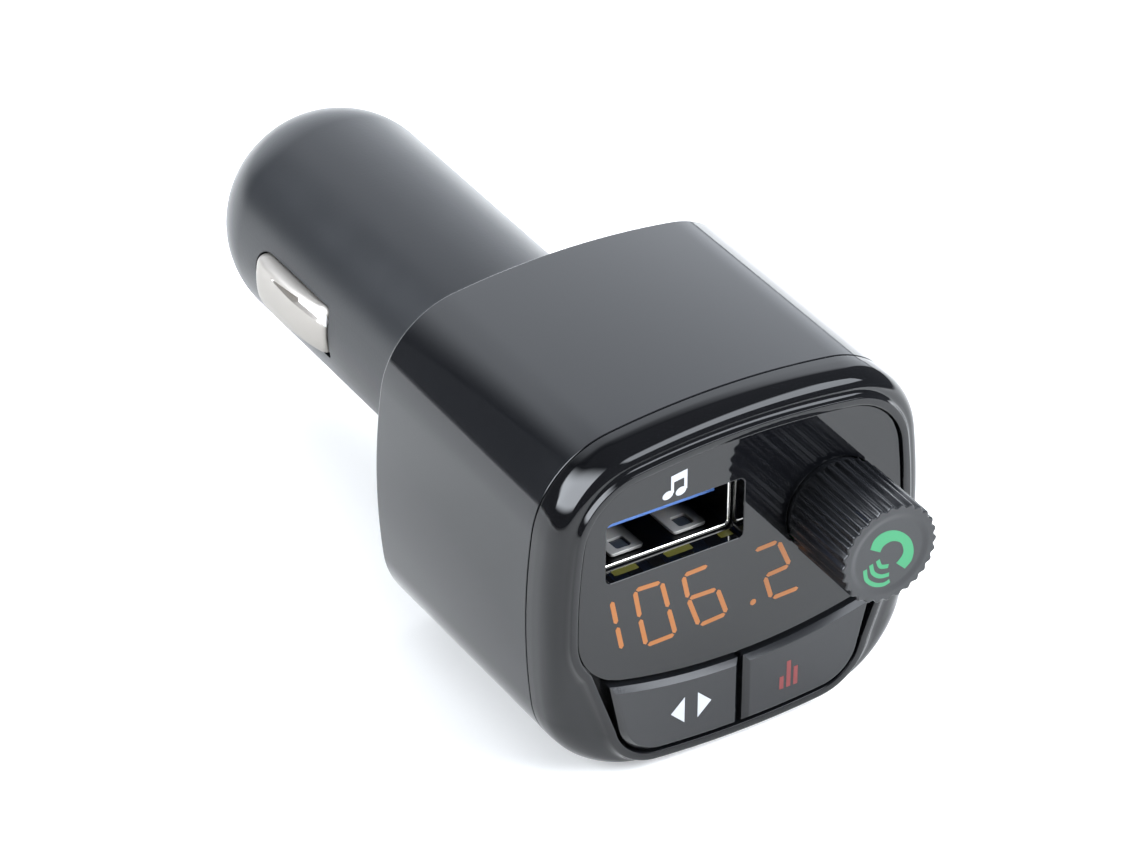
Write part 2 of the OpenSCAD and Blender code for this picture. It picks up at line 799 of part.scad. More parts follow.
// Plate under the shaft that works the encoder's push switch
module encoder_push_plate() {
  plate_z = front_board_z + encoder_floor + push_plate_lift;
  nib = push_plate_lift - knob_travel - part_gap;
  color("#c9a24b") at_knob() {
    bar(bush_r, plate_z, plate_z + push_plate_t);
    bar(switch_stem_r, plate_z - nib, plate_z + part_gap, small_fn);
  }
}

// Port's shell: folded sheet with two spring fingers in its floor, each with a square eye
module usb_shell() {
  inner_w = usb_w - 2 * usb_sheet;
  inner_h = usb_h - 2 * usb_sheet;
  finger_root = usb_mouth_z - usb_finger_back - usb_finger_len;
  color("#c8cace") at_usb() {
    difference() {
      slab(round_rect(usb_w, usb_h, usb_corner_r), power_board_z, usb_mouth_z);
      slab(round_rect(inner_w, inner_h, usb_corner_r - usb_sheet), power_board_z - cut, usb_mouth_z + cut);
      for (x = [-usb_finger_x, usb_finger_x])
        translate([x, -usb_h / 2, 0]) block(usb_finger_w + 2 * usb_finger_gap, 2 * usb_sheet + cut,
          finger_root, usb_mouth_z - usb_finger_back + usb_finger_gap);
    }
    for (x = [-usb_finger_x, usb_finger_x])
      translate([x, -usb_h / 2, finger_root]) rotate([-usb_finger_lift, 0, 0]) difference() {
        translate([-usb_finger_w / 2, 0, -usb_sheet]) cube([usb_finger_w, usb_sheet, usb_finger_len + usb_sheet]);
        block(usb_eye_w, 2 * usb_sheet + cut, usb_finger_len - usb_eye_back - usb_eye_w,
          usb_finger_len - usb_eye_back);
      }
  }
}

// Port's insulator: a base across the shell and the tongue near its roof
module usb_tongue() {
  tongue_y = usb_h / 2 - usb_sheet - usb_tongue_gap - usb_tongue_t / 2;
  color("#2b5fc4") at_usb() {
    slab(round_rect(usb_w - 2 * usb_sheet, usb_h - 2 * usb_sheet, usb_corner_r - usb_sheet),
      power_board_z, power_board_z + usb_base_t);
    translate([0, tongue_y, 0])
      block(usb_tongue_w, usb_tongue_t, power_board_z, usb_mouth_z - usb_tongue_back);
  }
}

// Port's four contact strips, on the tongue's lower side
module usb_contacts() {
  strip_y = usb_h / 2 - usb_sheet - usb_tongue_gap - usb_tongue_t - usb_strip_t / 2;
  outer = usb_strip_pitch_outer / 2;
  inner = usb_strip_pitch_inner / 2;
  color("#d4af37") at_usb() for (x = [-outer, -inner, inner, outer])
    translate([x, strip_y, 0])
      block(usb_strip_w, usb_strip_t, power_board_z + usb_base_t, usb_mouth_z - usb_tongue_back - inner_gap);
}

// Switch under a key: a square case with a steel frame and a bore for its stem
module key_switch(side) {
  top = front_board_z + switch_t;
  color("#2a2b2e") on_side(side) translate([switch_x, switch_y, 0]) difference() {
    union() {
      block(switch_w, switch_w, front_board_z, top - switch_frame_t);
      block(switch_w - 2 * switch_frame_t, switch_w - 2 * switch_frame_t, front_board_z, top);
    }
    bar(switch_stem_r + shaft_run, top - switch_bore_depth, top + cut, small_fn);
  }
}

module switch_stem(side) {
  color("#e6e2d8") on_side(side) translate([switch_x, switch_y, 0])
    bar(switch_stem_r, front_board_z + switch_t - switch_stem_sink, key_lip_z, small_fn);
}

module left_switch() {
  key_switch(-1);
}

module right_switch() {
  key_switch(1);
}

module left_switch_stem() {
  switch_stem(-1);
}

module right_switch_stem() {
  switch_stem(1);
}

// One light cell of a digit, lying along x, with pointed ends
module light_cell(length) {
  half = length / 2 - segment_gap;
  tip = segment_w / 2;
  polygon([[-half, 0], [tip - half, -tip], [half - tip, -tip], [half, 0], [half - tip, tip], [tip - half, tip]]);
}

// The seven cells of a digit, about its centre
module digit_cells() {
  half_h = digit_h / 2;
  for (y = [-half_h, 0, half_h]) translate([-y * tan(digit_lean), y]) light_cell(digit_w);
  for (x = [-digit_w / 2, digit_w / 2], y = [-half_h / 2, half_h / 2])
    translate([x - y * tan(digit_lean), y]) rotate([0, 0, 90 + digit_lean]) light_cell(half_h);
}

// Display block: a moulded reflector with a cell for each light, and a bite for the knob
module display_module() {
  front = floor_z - display_front_gap;
  color("#d9d7d0") on_head() difference() {
    translate([-display_left, -display_low, front_board_z])
      cube([display_left + display_right, display_low + display_top, front - front_board_z]);
    translate([knob_x, knob_y, 0]) bar(display_bite_r, front_board_z - cut, front + cut);
    translate([0, digit_mid_y, front - cell_depth]) linear_extrude(cell_depth + cut) {
      for (x = [first_digit_x, first_digit_x + digit_pitch, last_digit_x]) translate([x, 0]) digit_cells();
      for (y = [-digit_h / 4, digit_h / 4])
        translate([first_digit_x - 3 / 4 * digit_pitch - y * tan(digit_lean), y])
          rotate([0, 0, 90 + digit_lean]) light_cell(digit_h / 2);
    }
    translate([dot_x, dot_y, front - cell_depth]) cylinder(r = dot_r, h = cell_depth + cut, $fn = small_fn);
  }
}

// Front board: carries display, encoder and switches, and lets the port through
module front_board() {
  color("#1f5a34") on_head() difference() {
    slab(head_outline(sleeve_wall + board_gap), front_board_back_z, front_board_z);
    translate([-usb_x, usb_y, 0])
      block(usb_w + 2 * board_gap, usb_h + 2 * board_gap, front_board_back_z - cut, front_board_z + cut);
    at_bosses() bar(screw_r + screw_pass, front_board_back_z - cut, front_board_z + cut, small_fn);
  }
}

// Power board: carries the port, the radio and the supply, and lies on the sleeve's posts
module power_board() {
  color("#1f5a34") on_head() difference() {
    slab(head_outline(sleeve_wall + board_gap), power_board_back_z, power_board_z);
    at_posts() bar(screw_r + screw_pass, power_board_back_z - cut, power_board_z + cut, small_fn);
  }
}

// Barrel board: runs down the plug, drawn in between the side contacts
module barrel_board() {
  wide = barrel_board_w / 2;
  waist = barrel_board_waist / 2;
  waist_from = slot_start - waist_margin;
  waist_to = slot_start + slot_len + waist_margin;
  tail = seat_r;
  color("#1f5a34") facing() rotate([90, 0, 0]) linear_extrude(board_t, center = true)
    polygon([
      [wide, power_board_back_z], [-wide, power_board_back_z], [-wide, -waist_from],
      [-waist, -waist_from], [-waist, -waist_to], [-tail, -waist_to], [-tail, -barrel_board_tail],
      [tail, -barrel_board_tail], [tail, -waist_to], [waist, -waist_to], [waist, -waist_from],
      [wide, -waist_from]]);
}

module at_pins() {
  for (i = [0 : pin_count - 1])
    translate([header_x, header_y + (i - (pin_count - 1) / 2) * pin_pitch, 0]) children();
}

// Header strip that joins the two boards in the head, and its pins
module link_header() {
  color("#151617") on_head() difference() {
    translate([header_x, header_y, 0]) block(header_w, pin_count * pin_pitch, power_board_z, power_board_z + header_t);
    at_pins() block(pin_w, pin_w, power_board_z - cut, power_board_z + header_t + cut);
  }
}

module link_pins() {
  color("#d4af37") on_head() at_pins() block(pin_w, pin_w, power_board_z, front_board_back_z);
}

// Inductor on the barrel board: a ferrite bobbin and its winding
module at_inductor() {
  facing() translate([0, board_t / 2, -core_at]) rotate([-90, 0, 0]) children();
}

module inductor_core() {
  color("#3b3b3d") at_inductor() {
    bar(core_r, 0, core_rim);
    bar(core_waist_r, core_rim, core_h - core_rim);
    bar(core_r, core_h - core_rim, core_h);
  }
}

module inductor_winding() {
  color("#b5652a") at_inductor() difference() {
    bar(core_r - inner_gap, core_rim, core_h - core_rim);
    bar(core_waist_r, core_rim - cut, core_h - core_rim + cut);
  }
}

// Capacitor can on the power board's rear face
module capacitor(x) {
  waist = power_board_back_z - can_len / 6;
  color("#a9adb3") on_head() translate([x, can_y, 0]) difference() {
    bar(can_r, power_board_back_z - can_len, power_board_back_z);
    translate([0, 0, waist]) rotate_extrude($fn = round_fn)
      polygon([[can_r + part_gap, -can_groove], [can_r + part_gap, can_groove], [can_r - can_groove, 0]]);
  }
}

module input_capacitor() {
  capacitor(input_can_x);
}

module output_capacitor() {
  capacitor(output_can_x);
}

module regulator_chip() {
  color("#17181a") facing() translate([0, 0, -regulator_at]) rotate([90, 0, 0])
    block(regulator_w, regulator_w, -board_t / 2 - chip_t, -board_t / 2);
}

module radio_chip() {
  color("#17181a") on_head() translate([radio_x, radio_y, 0])
    block(radio_chip_w, radio_chip_w, front_board_back_z - chip_t, front_board_back_z);
}

// Wireless module on the power board: a small board under a steel shield
module wireless_module() {
  color("#20406e") on_head() translate([wireless_x, wireless_y, 0])
    block(wireless_w, wireless_h, power_board_z, power_board_z + wireless_t);
}

module wireless_shield() {
  base = power_board_z + wireless_t;
  color("#b9bcc2") on_head() translate([wireless_x - (wireless_w - shield_w) / 2 + inner_gap, wireless_y, 0])
    block(shield_w, shield_w, base, base + shield_t);
}

module microphone() {
  color("#b9bcc2") on_head() translate([microphone_x, microphone_y, 0]) difference() {
    bar(microphone_r, front_board_z, front_board_z + microphone_t, small_fn);
    bar(microphone_r / 4, front_board_z + microphone_t / 2, front_board_z + microphone_t + cut, small_fn);
  }
}

module input_fuse() {
  color("#d8d4c8") facing() translate([0, 0, -fuse_at]) rotate([90, 0, 0])
    block(fuse_w, fuse_len, board_t / 2 - fuse_t - board_t, -board_t / 2);
}

// Tip contact: a turned brass button with a flange that stays inside the nose
module tip_contact() {
  inner_nose = plug_len - nose_t;
  flange = inner_nose - tip_flange_gap;
  end = plug_len + tip_proud;
  color("#c9b06a") facing() rotate([180, 0, 0]) rotate_extrude($fn = round_fn)
    polygon(concat(
      [[0, flange - tip_flange_t], [tip_flange_r, flange - tip_flange_t], [tip_flange_r, flange], [tip_r, flange]],
      arc([tip_r - tip_round, end - tip_round], tip_round, 0, 90, corner_steps),
      [[tip_r - tip_round, end], [0, end]]));
}

// Coil spring behind the tip contact: one round wire along a helix
module tip_spring() {
  from = barrel_board_tail + seat_t;
  to = plug_len - nose_t - tip_flange_gap - tip_flange_t;
  count = spring_turns * spring_rings;
  lift = (to - from - 2 * spring_wire_r) / count;
  rings = [for (k = [0 : count]) let (a = 360 * k / spring_rings)
    [for (s = [0 : spring_sides - 1]) let (b = -360 * s / spring_sides, r = spring_r + spring_wire_r * cos(b))
      [r * cos(a), r * sin(a), from + spring_wire_r + k * lift + spring_wire_r * sin(b)]]];
  color("silver") facing() rotate([180, 0, 0]) loft(rings);
}

// Brass seat of the spring, slotted over the end of the barrel board
module spring_seat() {
  color("#c9b06a") facing() difference() {
    bar(seat_r, -barrel_board_tail - seat_t, -barrel_board_tail + seat_slot);
    block(2 * seat_r + cut, board_t, -barrel_board_tail, -barrel_board_tail + seat_slot + cut);
  }
}

// Crowned body of a side contact, turned about the plug's axis, less a sheet's thickness
module crown(inset) {
  sag = contact_proud + contact_end_dip;
  r = (contact_half_len * contact_half_len + sag * sag) / (2 * sag);
  rotate_extrude($fn = round_fn) intersection() {
    translate([plug_r + contact_proud - r, 0]) circle(r - inset, $fn = round_fn);
    translate([0, -r]) square(2 * r);
  }
}

// Prism over a side contact's outline, less a margin, between two distances from the axis
module contact_prism(margin, from, to) {
  rotate([0, -90, 0]) mirror([0, 0, 1]) translate([contact_half_len - margin, 0, from]) mirror([1, 0, 0])
    linear_extrude(to - from)
      slot_outline(2 * (contact_half_len - margin), 2 * (contact_half_h - margin), contact_corner_r - margin / 2);
}

// Side contact: a crowned cover of folded sheet, split by a vee at its near end over a sunken
// tongue, with a flange behind the slot that holds it in the plug
module side_contact(side) {
  flange_in = contact_flange_out - contact_sheet;
  top = plug_r + contact_proud;
  vee_start = contact_half_len * (1 - 2 * vee_share);
  near_x = plug_r - contact_end_dip - vee_depth;
  color("#d3d5d8") facing() mirror([side < 0 ? 1 : 0, 0, 0]) translate([0, 0, -contact_mid]) {
    difference() {
      intersection() {
        crown(0);
        contact_prism(0, flange_in, top);
      }
      intersection() {
        crown(contact_sheet);
        contact_prism(contact_sheet, flange_in - cut, top);
      }
      translate([near_x, 0, 0]) rotate([0, 90, 0]) linear_extrude(top)
        polygon([[-vee_start, vee_rise], [-contact_half_len - cut, vee_rise + vee_half_h],
                 [-contact_half_len - cut, vee_rise - vee_half_h]]);
    }
    rotate([90, 0, 0]) linear_extrude(2 * contact_half_h - contact_sheet, center = true)
      polygon([[top - contact_sheet - vee_depth / 2, vee_start], [near_x, contact_half_len - contact_sheet / 2],
               [near_x - contact_sheet, contact_half_len - contact_sheet / 2],
               [top - 2 * contact_sheet - vee_depth / 2, vee_start - contact_sheet]]);
    contact_flange(flange_in);
  }
}

// Flange of a side contact, behind its slot
module contact_flange(flange_in) {
  reach = contact_half_len + contact_flange_len;
  difference() {
    translate([flange_in, -contact_flange_h, -reach]) cube([contact_sheet, 2 * contact_flange_h, 2 * reach]);
    contact_prism(contact_sheet, flange_in - cut, contact_flange_out + cut);
  }
}

module left_contact() {
  side_contact(-1);
}

module right_contact() {
  side_contact(1);
}

// Leaf spring between the barrel board and a side contact
module contact_leaf(side) {
  low = barrel_board_waist / 2;
  high = contact_flange_out - contact_sheet;
  bow = high - low - contact_sheet;
  r = (leaf_half_len * leaf_half_len + bow * bow) / (2 * bow);
  span = asin(leaf_half_len / r);
  color("#b9a36b") facing() mirror([side < 0 ? 1 : 0, 0, 0]) translate([high - contact_sheet - r, 0, -contact_mid])
    rotate([90, 0, 0]) linear_extrude(leaf_w, center = true)
      polygon(concat(
        arc([0, 0], r + contact_sheet, -span, span, corner_steps * 2),
        [(r + contact_sheet) * [cos(span), sin(span)]],
        arc([0, 0], r, span, -span, corner_steps * 2),
        [r * [cos(span), -sin(span)]]));
}

module left_contact_spring() {
  contact_leaf(-1);
}

module right_contact_spring() {
  contact_leaf(1);
}

// Screw with its head's underside at z = 0 and its shank upward
module screw(length) {
  difference() {
    union() {
      bar(screw_head_r, -screw_head_t, 0, small_fn);
      bar(screw_r, 0, length, small_fn);
    }
    for (a = [0, 90]) rotate([0, 0, a])
      block(2 * driver_r, driver_r / 2, -screw_head_t - cut, driver_depth - screw_head_t);
  }
}

module barrel_screws() {
  color("#8d9096") facing() at_lugs() translate([0, 0, flange_z]) rotate([180, 0, 0]) screw(barrel_screw_len);
}

module front_board_screws() {
  color("#8d9096") on_head() at_bosses() translate([0, 0, front_board_back_z]) screw(board_screw_len);
}

module power_board_screws() {
  color("#8d9096") on_head() at_posts() translate([0, 0, power_board_z]) rotate([180, 0, 0]) screw(board_screw_len);
}

plug_barrel();
head_sleeve();
front_bezel();
display_lens();
left_key();
right_key();
knob();
encoder_shaft();
encoder_bush();
encoder_body();
encoder_push_plate();
usb_shell();
usb_tongue();
usb_contacts();
left_switch();
right_switch();
left_switch_stem();
right_switch_stem();
display_module();
front_board();
power_board();
barrel_board();
link_header();
link_pins();
inductor_core();
inductor_winding();
input_capacitor();
output_capacitor();
regulator_chip();
radio_chip();
wireless_module();
wireless_shield();
microphone();
input_fuse();
tip_contact();
tip_spring();
spring_seat();
left_contact();
right_contact();
left_contact_spring();
right_contact_spring();
barrel_screws();
front_board_screws();
power_board_screws();
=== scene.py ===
"""Looks of the car FM transmitter: fine skins, finishes, printed marks, studio and camera.

Outlines are drawn as the viewer sees the face: x to the right, y up, z out of the face, in
millimetres from the plug's axis and the head's rear face. place() turns them into the row frame.
"""

import math

import bmesh
import bpy
from mathutils import Matrix, Vector


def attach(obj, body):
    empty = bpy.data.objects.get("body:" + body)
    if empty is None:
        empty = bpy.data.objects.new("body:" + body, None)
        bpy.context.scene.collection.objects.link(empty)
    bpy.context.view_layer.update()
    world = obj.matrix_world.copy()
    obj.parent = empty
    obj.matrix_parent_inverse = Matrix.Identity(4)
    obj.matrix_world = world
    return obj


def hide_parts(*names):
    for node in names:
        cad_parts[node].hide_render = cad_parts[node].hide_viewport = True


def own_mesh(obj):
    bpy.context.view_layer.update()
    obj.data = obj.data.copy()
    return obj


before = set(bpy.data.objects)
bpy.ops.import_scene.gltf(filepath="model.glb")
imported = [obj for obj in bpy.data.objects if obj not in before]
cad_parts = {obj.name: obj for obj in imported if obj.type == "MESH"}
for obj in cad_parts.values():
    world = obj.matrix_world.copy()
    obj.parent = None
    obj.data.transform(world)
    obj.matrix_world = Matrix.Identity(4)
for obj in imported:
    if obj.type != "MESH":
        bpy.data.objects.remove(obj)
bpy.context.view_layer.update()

MM = 0.001
HEAD_RISE = 1.5

# Levels along the plug's axis
SLEEVE_LEN = 24.5
SEAM = 0.12
COLLAR_Z = 28.65
LENS_Z = 28.4
FLOOR_Z = 26.9
FLOOR_BACK_Z = 25.7
KEY_Z = 29.0
KNOB_Z = 36.9
KNOB_BACK_Z = 26.3
GRIP_Z = 29.0
USB_MOUTH_Z = 26.6
USB_BACK_Z = 13.2

# Arcs of the head's outline
HALF_W = 18.55
HALF_H = 16.6
SIDE_R = 66.0
TOP_R = 73.0
CORNER_R = 8.5

# Arcs of the face
LENS_INSET = 2.65
SHOULDER_R = 5.7
SHOULDER_DROP = 0.8
BOW_R = 48.0
LENS_GAP = 0.1
COLLAR_W = 0.75
KEY_BOW_R = 80.0
KEY_BOTTOM = 15.0
KEY_CORNER_X = 7.7
KEY_CORNER_R = 4.3
KEY_CLEAR = 0.3
KEY_GAP = 0.45
KEY_TOP_X = 12.9
KEY_SPLIT = 0.5

KNOB = (8.77, 4.1)
KNOB_R = 4.7
KNOB_HOLE_R = 4.95
KNOB_NECK_R = 4.25
NECK_CLEAR = 0.2
DISH = 0.12
USB = (-6.62, 6.89)
USB_W = 13.1
USB_H = 5.7
USB_SHEET = 0.3
USB_CLEAR = 0.1
TONGUE_W = 11.1
TONGUE_T = 1.84
TONGUE_GAP = 0.62
TONGUE_BACK = 1.0
TONGUE_BLOCK_T = 1.9
FILM_T = 0.012

PLUG_R = 10.4
PLUG_LEN = 48.9
DOME_LEN = 9.9
BORE_R = 8.6
FLANGE_R = 12.6
SLOT_START = 22.6
SLOT_LEN = 13.2
SLOT_H = 5.4
TIP_R = 2.78
TIP_SPRING_FROM = 40.1
TIP_SPRING_TO = 45.5
LEAF_FROM = 5.4
LEAF_TO = 7.0
LEAF_SHEET = 0.5


def place(x, y, z, rise=HEAD_RISE):
    """A point of the face's drawing, in the row frame."""
    return Vector((x * MM, -z * MM, (y + rise) * MM))


def on_plug(x, y, z):
    """The same, with y counted from the plug's axis."""
    return place(x, y, z, 0)


# Outlines


def meet(a, ra, b, rb):
    """The point ra from a and rb from b, on the left of the way from a to b."""
    way = (b[0] - a[0], b[1] - a[1])
    far = math.hypot(*way)
    along = (ra * ra - rb * rb + far * far) / (2 * far)
    off = math.sqrt(ra * ra - along * along)
    return (
        a[0] + (along * way[0] - off * way[1]) / far,
        a[1] + (along * way[1] + off * way[0]) / far,
    )


def bearing(a, b):
    return math.atan2(b[1] - a[1], b[0] - a[0])


def arc(centre, r, start, end, steps):
    """Points of an arc without its last one."""
    angles = [start + (end - start) * i / steps for i in range(steps)]
    return [(centre[0] + r * math.cos(a), centre[1] + r * math.sin(a)) for a in angles]


SIDE_C = (HALF_W - SIDE_R, 0.0)
TOP_C = (0.0, HALF_H - TOP_R)
CORNER_C = meet(SIDE_C, SIDE_R - CORNER_R, TOP_C, TOP_R - CORNER_R)
SIDE_A = bearing(SIDE_C, CORNER_C)
TOP_A = bearing(TOP_C, CORNER_C)
SHOULDER_REACH = SIDE_R - LENS_INSET - SHOULDER_R
SHOULDER_A = -math.asin(SHOULDER_DROP / SHOULDER_REACH)
SHOULDER_C = (SIDE_C[0] + SHOULDER_REACH * math.cos(SHOULDER_A), -SHOULDER_DROP)
BOW_C = (0.0, SHOULDER_C[1] + math.sqrt((BOW_R - SHOULDER_R) ** 2 - SHOULDER_C[0] ** 2))
BOW_A = bearing(BOW_C, SHOULDER_C)
KEY_BOW_C = (0.0, KEY_BOW_R - KEY_BOTTOM)
KEY_CORNER_C = (
    KEY_CORNER_X,
    KEY_BOW_C[1] - math.sqrt((KEY_BOW_R - KEY_CORNER_R) ** 2 - KEY_CORNER_X**2),
)
KEY_BOW_A = bearing(KEY_BOW_C, KEY_CORNER_C)
KEY_END_A = math.radians(-8)
SHOULDER_END_A = math.radians(-40)
DOWN = -math.pi / 2
UP = math.pi / 2


def both_sides(half, top):
    """A whole outline from its right half, which runs from the bottom up."""
    return half + [(0.0, top)] + [(-x, y) for x, y in reversed(half[1:])]


def upper_quarter(inset, start):
    return (
        arc(SIDE_C, SIDE_R - inset, start, SIDE_A, 12)
        + arc(CORNER_C, CORNER_R - inset, SIDE_A, TOP_A, 28)
        + arc(TOP_C, TOP_R - inset, TOP_A, UP, 14)
    )


def head_outline(inset):
    low_corner = (CORNER_C[0], -CORNER_C[1])
    half = (
        arc((0, -TOP_C[1]), TOP_R - inset, DOWN, -TOP_A, 14)
        + arc(low_corner, CORNER_R - inset, -TOP_A, -SIDE_A, 28)
        + arc(SIDE_C, SIDE_R - inset, -SIDE_A, 0, 12)
        + upper_quarter(inset, 0)
    )
    return both_sides(half, HALF_H - inset)


def face_outline(grow):
    """Round lens and keys together, grown from the lens's edge."""
    half = (
        arc(KEY_BOW_C, KEY_BOW_R + KEY_CLEAR - LENS_GAP + grow, DOWN, KEY_BOW_A, 14)
        + arc(KEY_CORNER_C, KEY_CORNER_R + KEY_CLEAR - LENS_GAP + grow, KEY_BOW_A, KEY_END_A, 28)
        + arc(SHOULDER_C, SHOULDER_R + grow, SHOULDER_END_A, SHOULDER_A, 12)
        + upper_quarter(LENS_INSET - grow, SHOULDER_A)
    )
    return both_sides(half, HALF_H - LENS_INSET + grow)


def lens_outline(grow):
    half = (
        arc(BOW_C, BOW_R + grow, DOWN, BOW_A, 30)
        + arc(SHOULDER_C, SHOULDER_R + grow, BOW_A, SHOULDER_A, 24)
        + upper_quarter(LENS_INSET - grow, SHOULDER_A)
    )
    return both_sides(half, HALF_H - LENS_INSET + grow)


def key_outline(grow, inner):
    """Right key, grown outward, with its inner side at x = inner."""
    top_r = BOW_R + KEY_GAP - grow
    low_r = KEY_BOW_R + grow
    low_from = DOWN + math.asin(inner / low_r)
    top_from = DOWN + math.asin((KEY_TOP_X + grow) / top_r)
    top_to = DOWN + math.asin(inner / top_r)
    corner = KEY_CORNER_R + grow
    return (
        arc(KEY_BOW_C, low_r, low_from, KEY_BOW_A, 16)
        + arc(KEY_CORNER_C, corner, KEY_BOW_A, KEY_END_A, 20)
        + arc(KEY_CORNER_C, corner, KEY_END_A, KEY_END_A + 1, 1)
        + arc(BOW_C, top_r, top_from, top_to, 20)
        + arc(BOW_C, top_r, top_to, top_to + 1, 1)
    )


def circle(centre, r, steps):
    return arc(centre, r, 0, 2 * math.pi, steps)


def quarter_turn(steps):
    """Angles from 0 to a right angle, both ends among them."""
    return [math.pi / 2 * i / steps for i in range(steps + 1)]


def full_turn(steps):
    return [2 * math.pi * i / steps for i in range(steps)]


def round_rect(centre, w, h, r):
    points = []
    steps = 6
    for sx, sy, a in ((1, -1, -90), (1, 1, 0), (-1, 1, 90), (-1, -1, 180)):
        c = (centre[0] + sx * (w / 2 - r), centre[1] + sy * (h / 2 - r))
        points += arc(c, r, math.radians(a), math.radians(a + 90), steps)
        end = math.radians(a + 90)
        points.append((c[0] + r * math.cos(end), c[1] + r * math.sin(end)))
    return points


def on_curve(a, b, c, d, t):
    """Value at t of the smooth curve from b to c, with a before and d after them."""
    return 0.5 * (2 * b + (c - a) * t + (2 * a - 5 * b + 4 * c - d) * t * t + (3 * b - a - 3 * c + d) * t**3)


def smooth_path(points, steps):
    """Points along a smooth curve through the given ones."""
    out = []
    padded = [points[0]] + list(points) + [points[-1]]
    for four in zip(padded, padded[1:], padded[2:], padded[3:]):
        for i in range(steps):
            out.append(tuple(on_curve(*values, i / steps) for values in zip(*four)))
    return out + [tuple(points[-1])]


# Meshes


def new_piece(name, bm, material, body, *stands_for, angle=30):
    """Turns a bmesh into a piece that rides on a body in place of CAD nodes."""
    bmesh.ops.remove_doubles(bm, verts=bm.verts, dist=1e-8)
    bmesh.ops.recalc_face_normals(bm, faces=bm.faces)
    mesh = bpy.data.meshes.new(name)
    bm.to_mesh(mesh)
    bm.free()
    mesh.shade_smooth()
    mesh.set_sharp_from_angle(angle=math.radians(angle))
    obj = bpy.data.objects.new(name, mesh)
    bpy.context.scene.collection.objects.link(obj)
    obj.data.materials.append(material)
    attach(obj, body)
    if stands_for:
        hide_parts(*stands_for)
    return obj


def loft(rings, closed=False, cap_start=False, cap_end=False):
    """Skin through rings of points that are already in the row frame."""
    bm = bmesh.new()
    rows = [[bm.verts.new(p) for p in ring] for ring in rings]
    pairs = list(zip(rows, rows[1:]))
    if closed:
        pairs.append((rows[-1], rows[0]))
    for low, high in pairs:
        n = len(low)
        for i in range(n):
            j = (i + 1) % n
            bm.faces.new((low[i], low[j], high[j], high[i]))
    if cap_start:
        bm.faces.new(rows[0])
    if cap_end:
        bm.faces.new(rows[-1])
    return bm


def ring(outline, z):
    return [place(x, y, z) for x, y in outline]


def blend(a, b, t):
    return [(p[0] + (q[0] - p[0]) * t, p[1] + (q[1] - p[1]) * t) for p, q in zip(a, b)]


def plate(outlines, low, high, bevel=0.0):
    """A flat plate with holes: the first outline is its edge, the others are holes."""
    curve = bpy.data.curves.new("plate", "CURVE")
    curve.dimensions = "2D"
    curve.fill_mode = "BOTH"
    for outline in outlines:
        spline = curve.splines.new("POLY")
        spline.points.add(len(outline) - 1)
        for point, (x, y) in zip(spline.points, outline):
            point.co = (x, y, 0, 1)
        spline.use_cyclic_u = True
    curve.extrude = (high - low) / 2 - bevel
    curve.bevel_depth = bevel
    curve.bevel_resolution = 2
    curve.offset = -bevel
    holder = bpy.data.objects.new("plate", curve)
    bpy.context.scene.collection.objects.link(holder)
    bpy.context.view_layer.update()
    evaluated = holder.evaluated_get(bpy.context.evaluated_depsgraph_get())
    mesh = bpy.data.meshes.new_from_object(evaluated)
    bm = bmesh.new()
    bm.from_mesh(mesh)
    for v in bm.verts:
        v.co = place(v.co.x, v.co.y, v.co.z + (low + high) / 2)
    bpy.data.objects.remove(holder)
    bpy.data.curves.remove(curve)
    bpy.data.meshes.remove(mesh)
    return bm


# Finishes


def group(name, build):
    """A shader node group that build() fills."""
    tree = bpy.data.node_groups.new(name, "ShaderNodeTree")
    build(tree)
    return tree


def sockets(tree, inputs, outputs):
    """Gives a group its sockets, each a name and a kind. Returns the nodes of its two ends."""
    for way, ends in (("INPUT", inputs), ("OUTPUT", outputs)):
        for name, kind in ends.items():
            tree.interface.new_socket(name, in_out=way, socket_type="NodeSocket" + kind)
    return tree.nodes.new("NodeGroupInput"), tree.nodes.new("NodeGroupOutput")


def wire(tree, *links):
    """Joins nodes: each link is a node, its output, the next node and its input."""
    for source, output, target, socket in links:
        tree.links.new(source.outputs[output], target.inputs[socket])


def fine_grain(tree):
    """Bump of moulded plastic: Scale and Strength in, Normal out."""
    inside, out = sockets(tree, {"Scale": "Float", "Strength": "Float"}, {"Normal": "Vector"})
    where = tree.nodes.new("ShaderNodeTexCoord")
    noise = tree.nodes.new("ShaderNodeTexNoise")
    bump = tree.nodes.new("ShaderNodeBump")
    bump.inputs["Distance"].default_value = 0.00002
    noise.inputs["Detail"].default_value = 3
    wire(
        tree,
        (where, "Object", noise, "Vector"),
        (inside, "Scale", noise, "Scale"),
        (inside, "Strength", bump, "Strength"),
        (noise, "Fac", bump, "Height"),
        (bump, "Normal", out, "Normal"),
    )


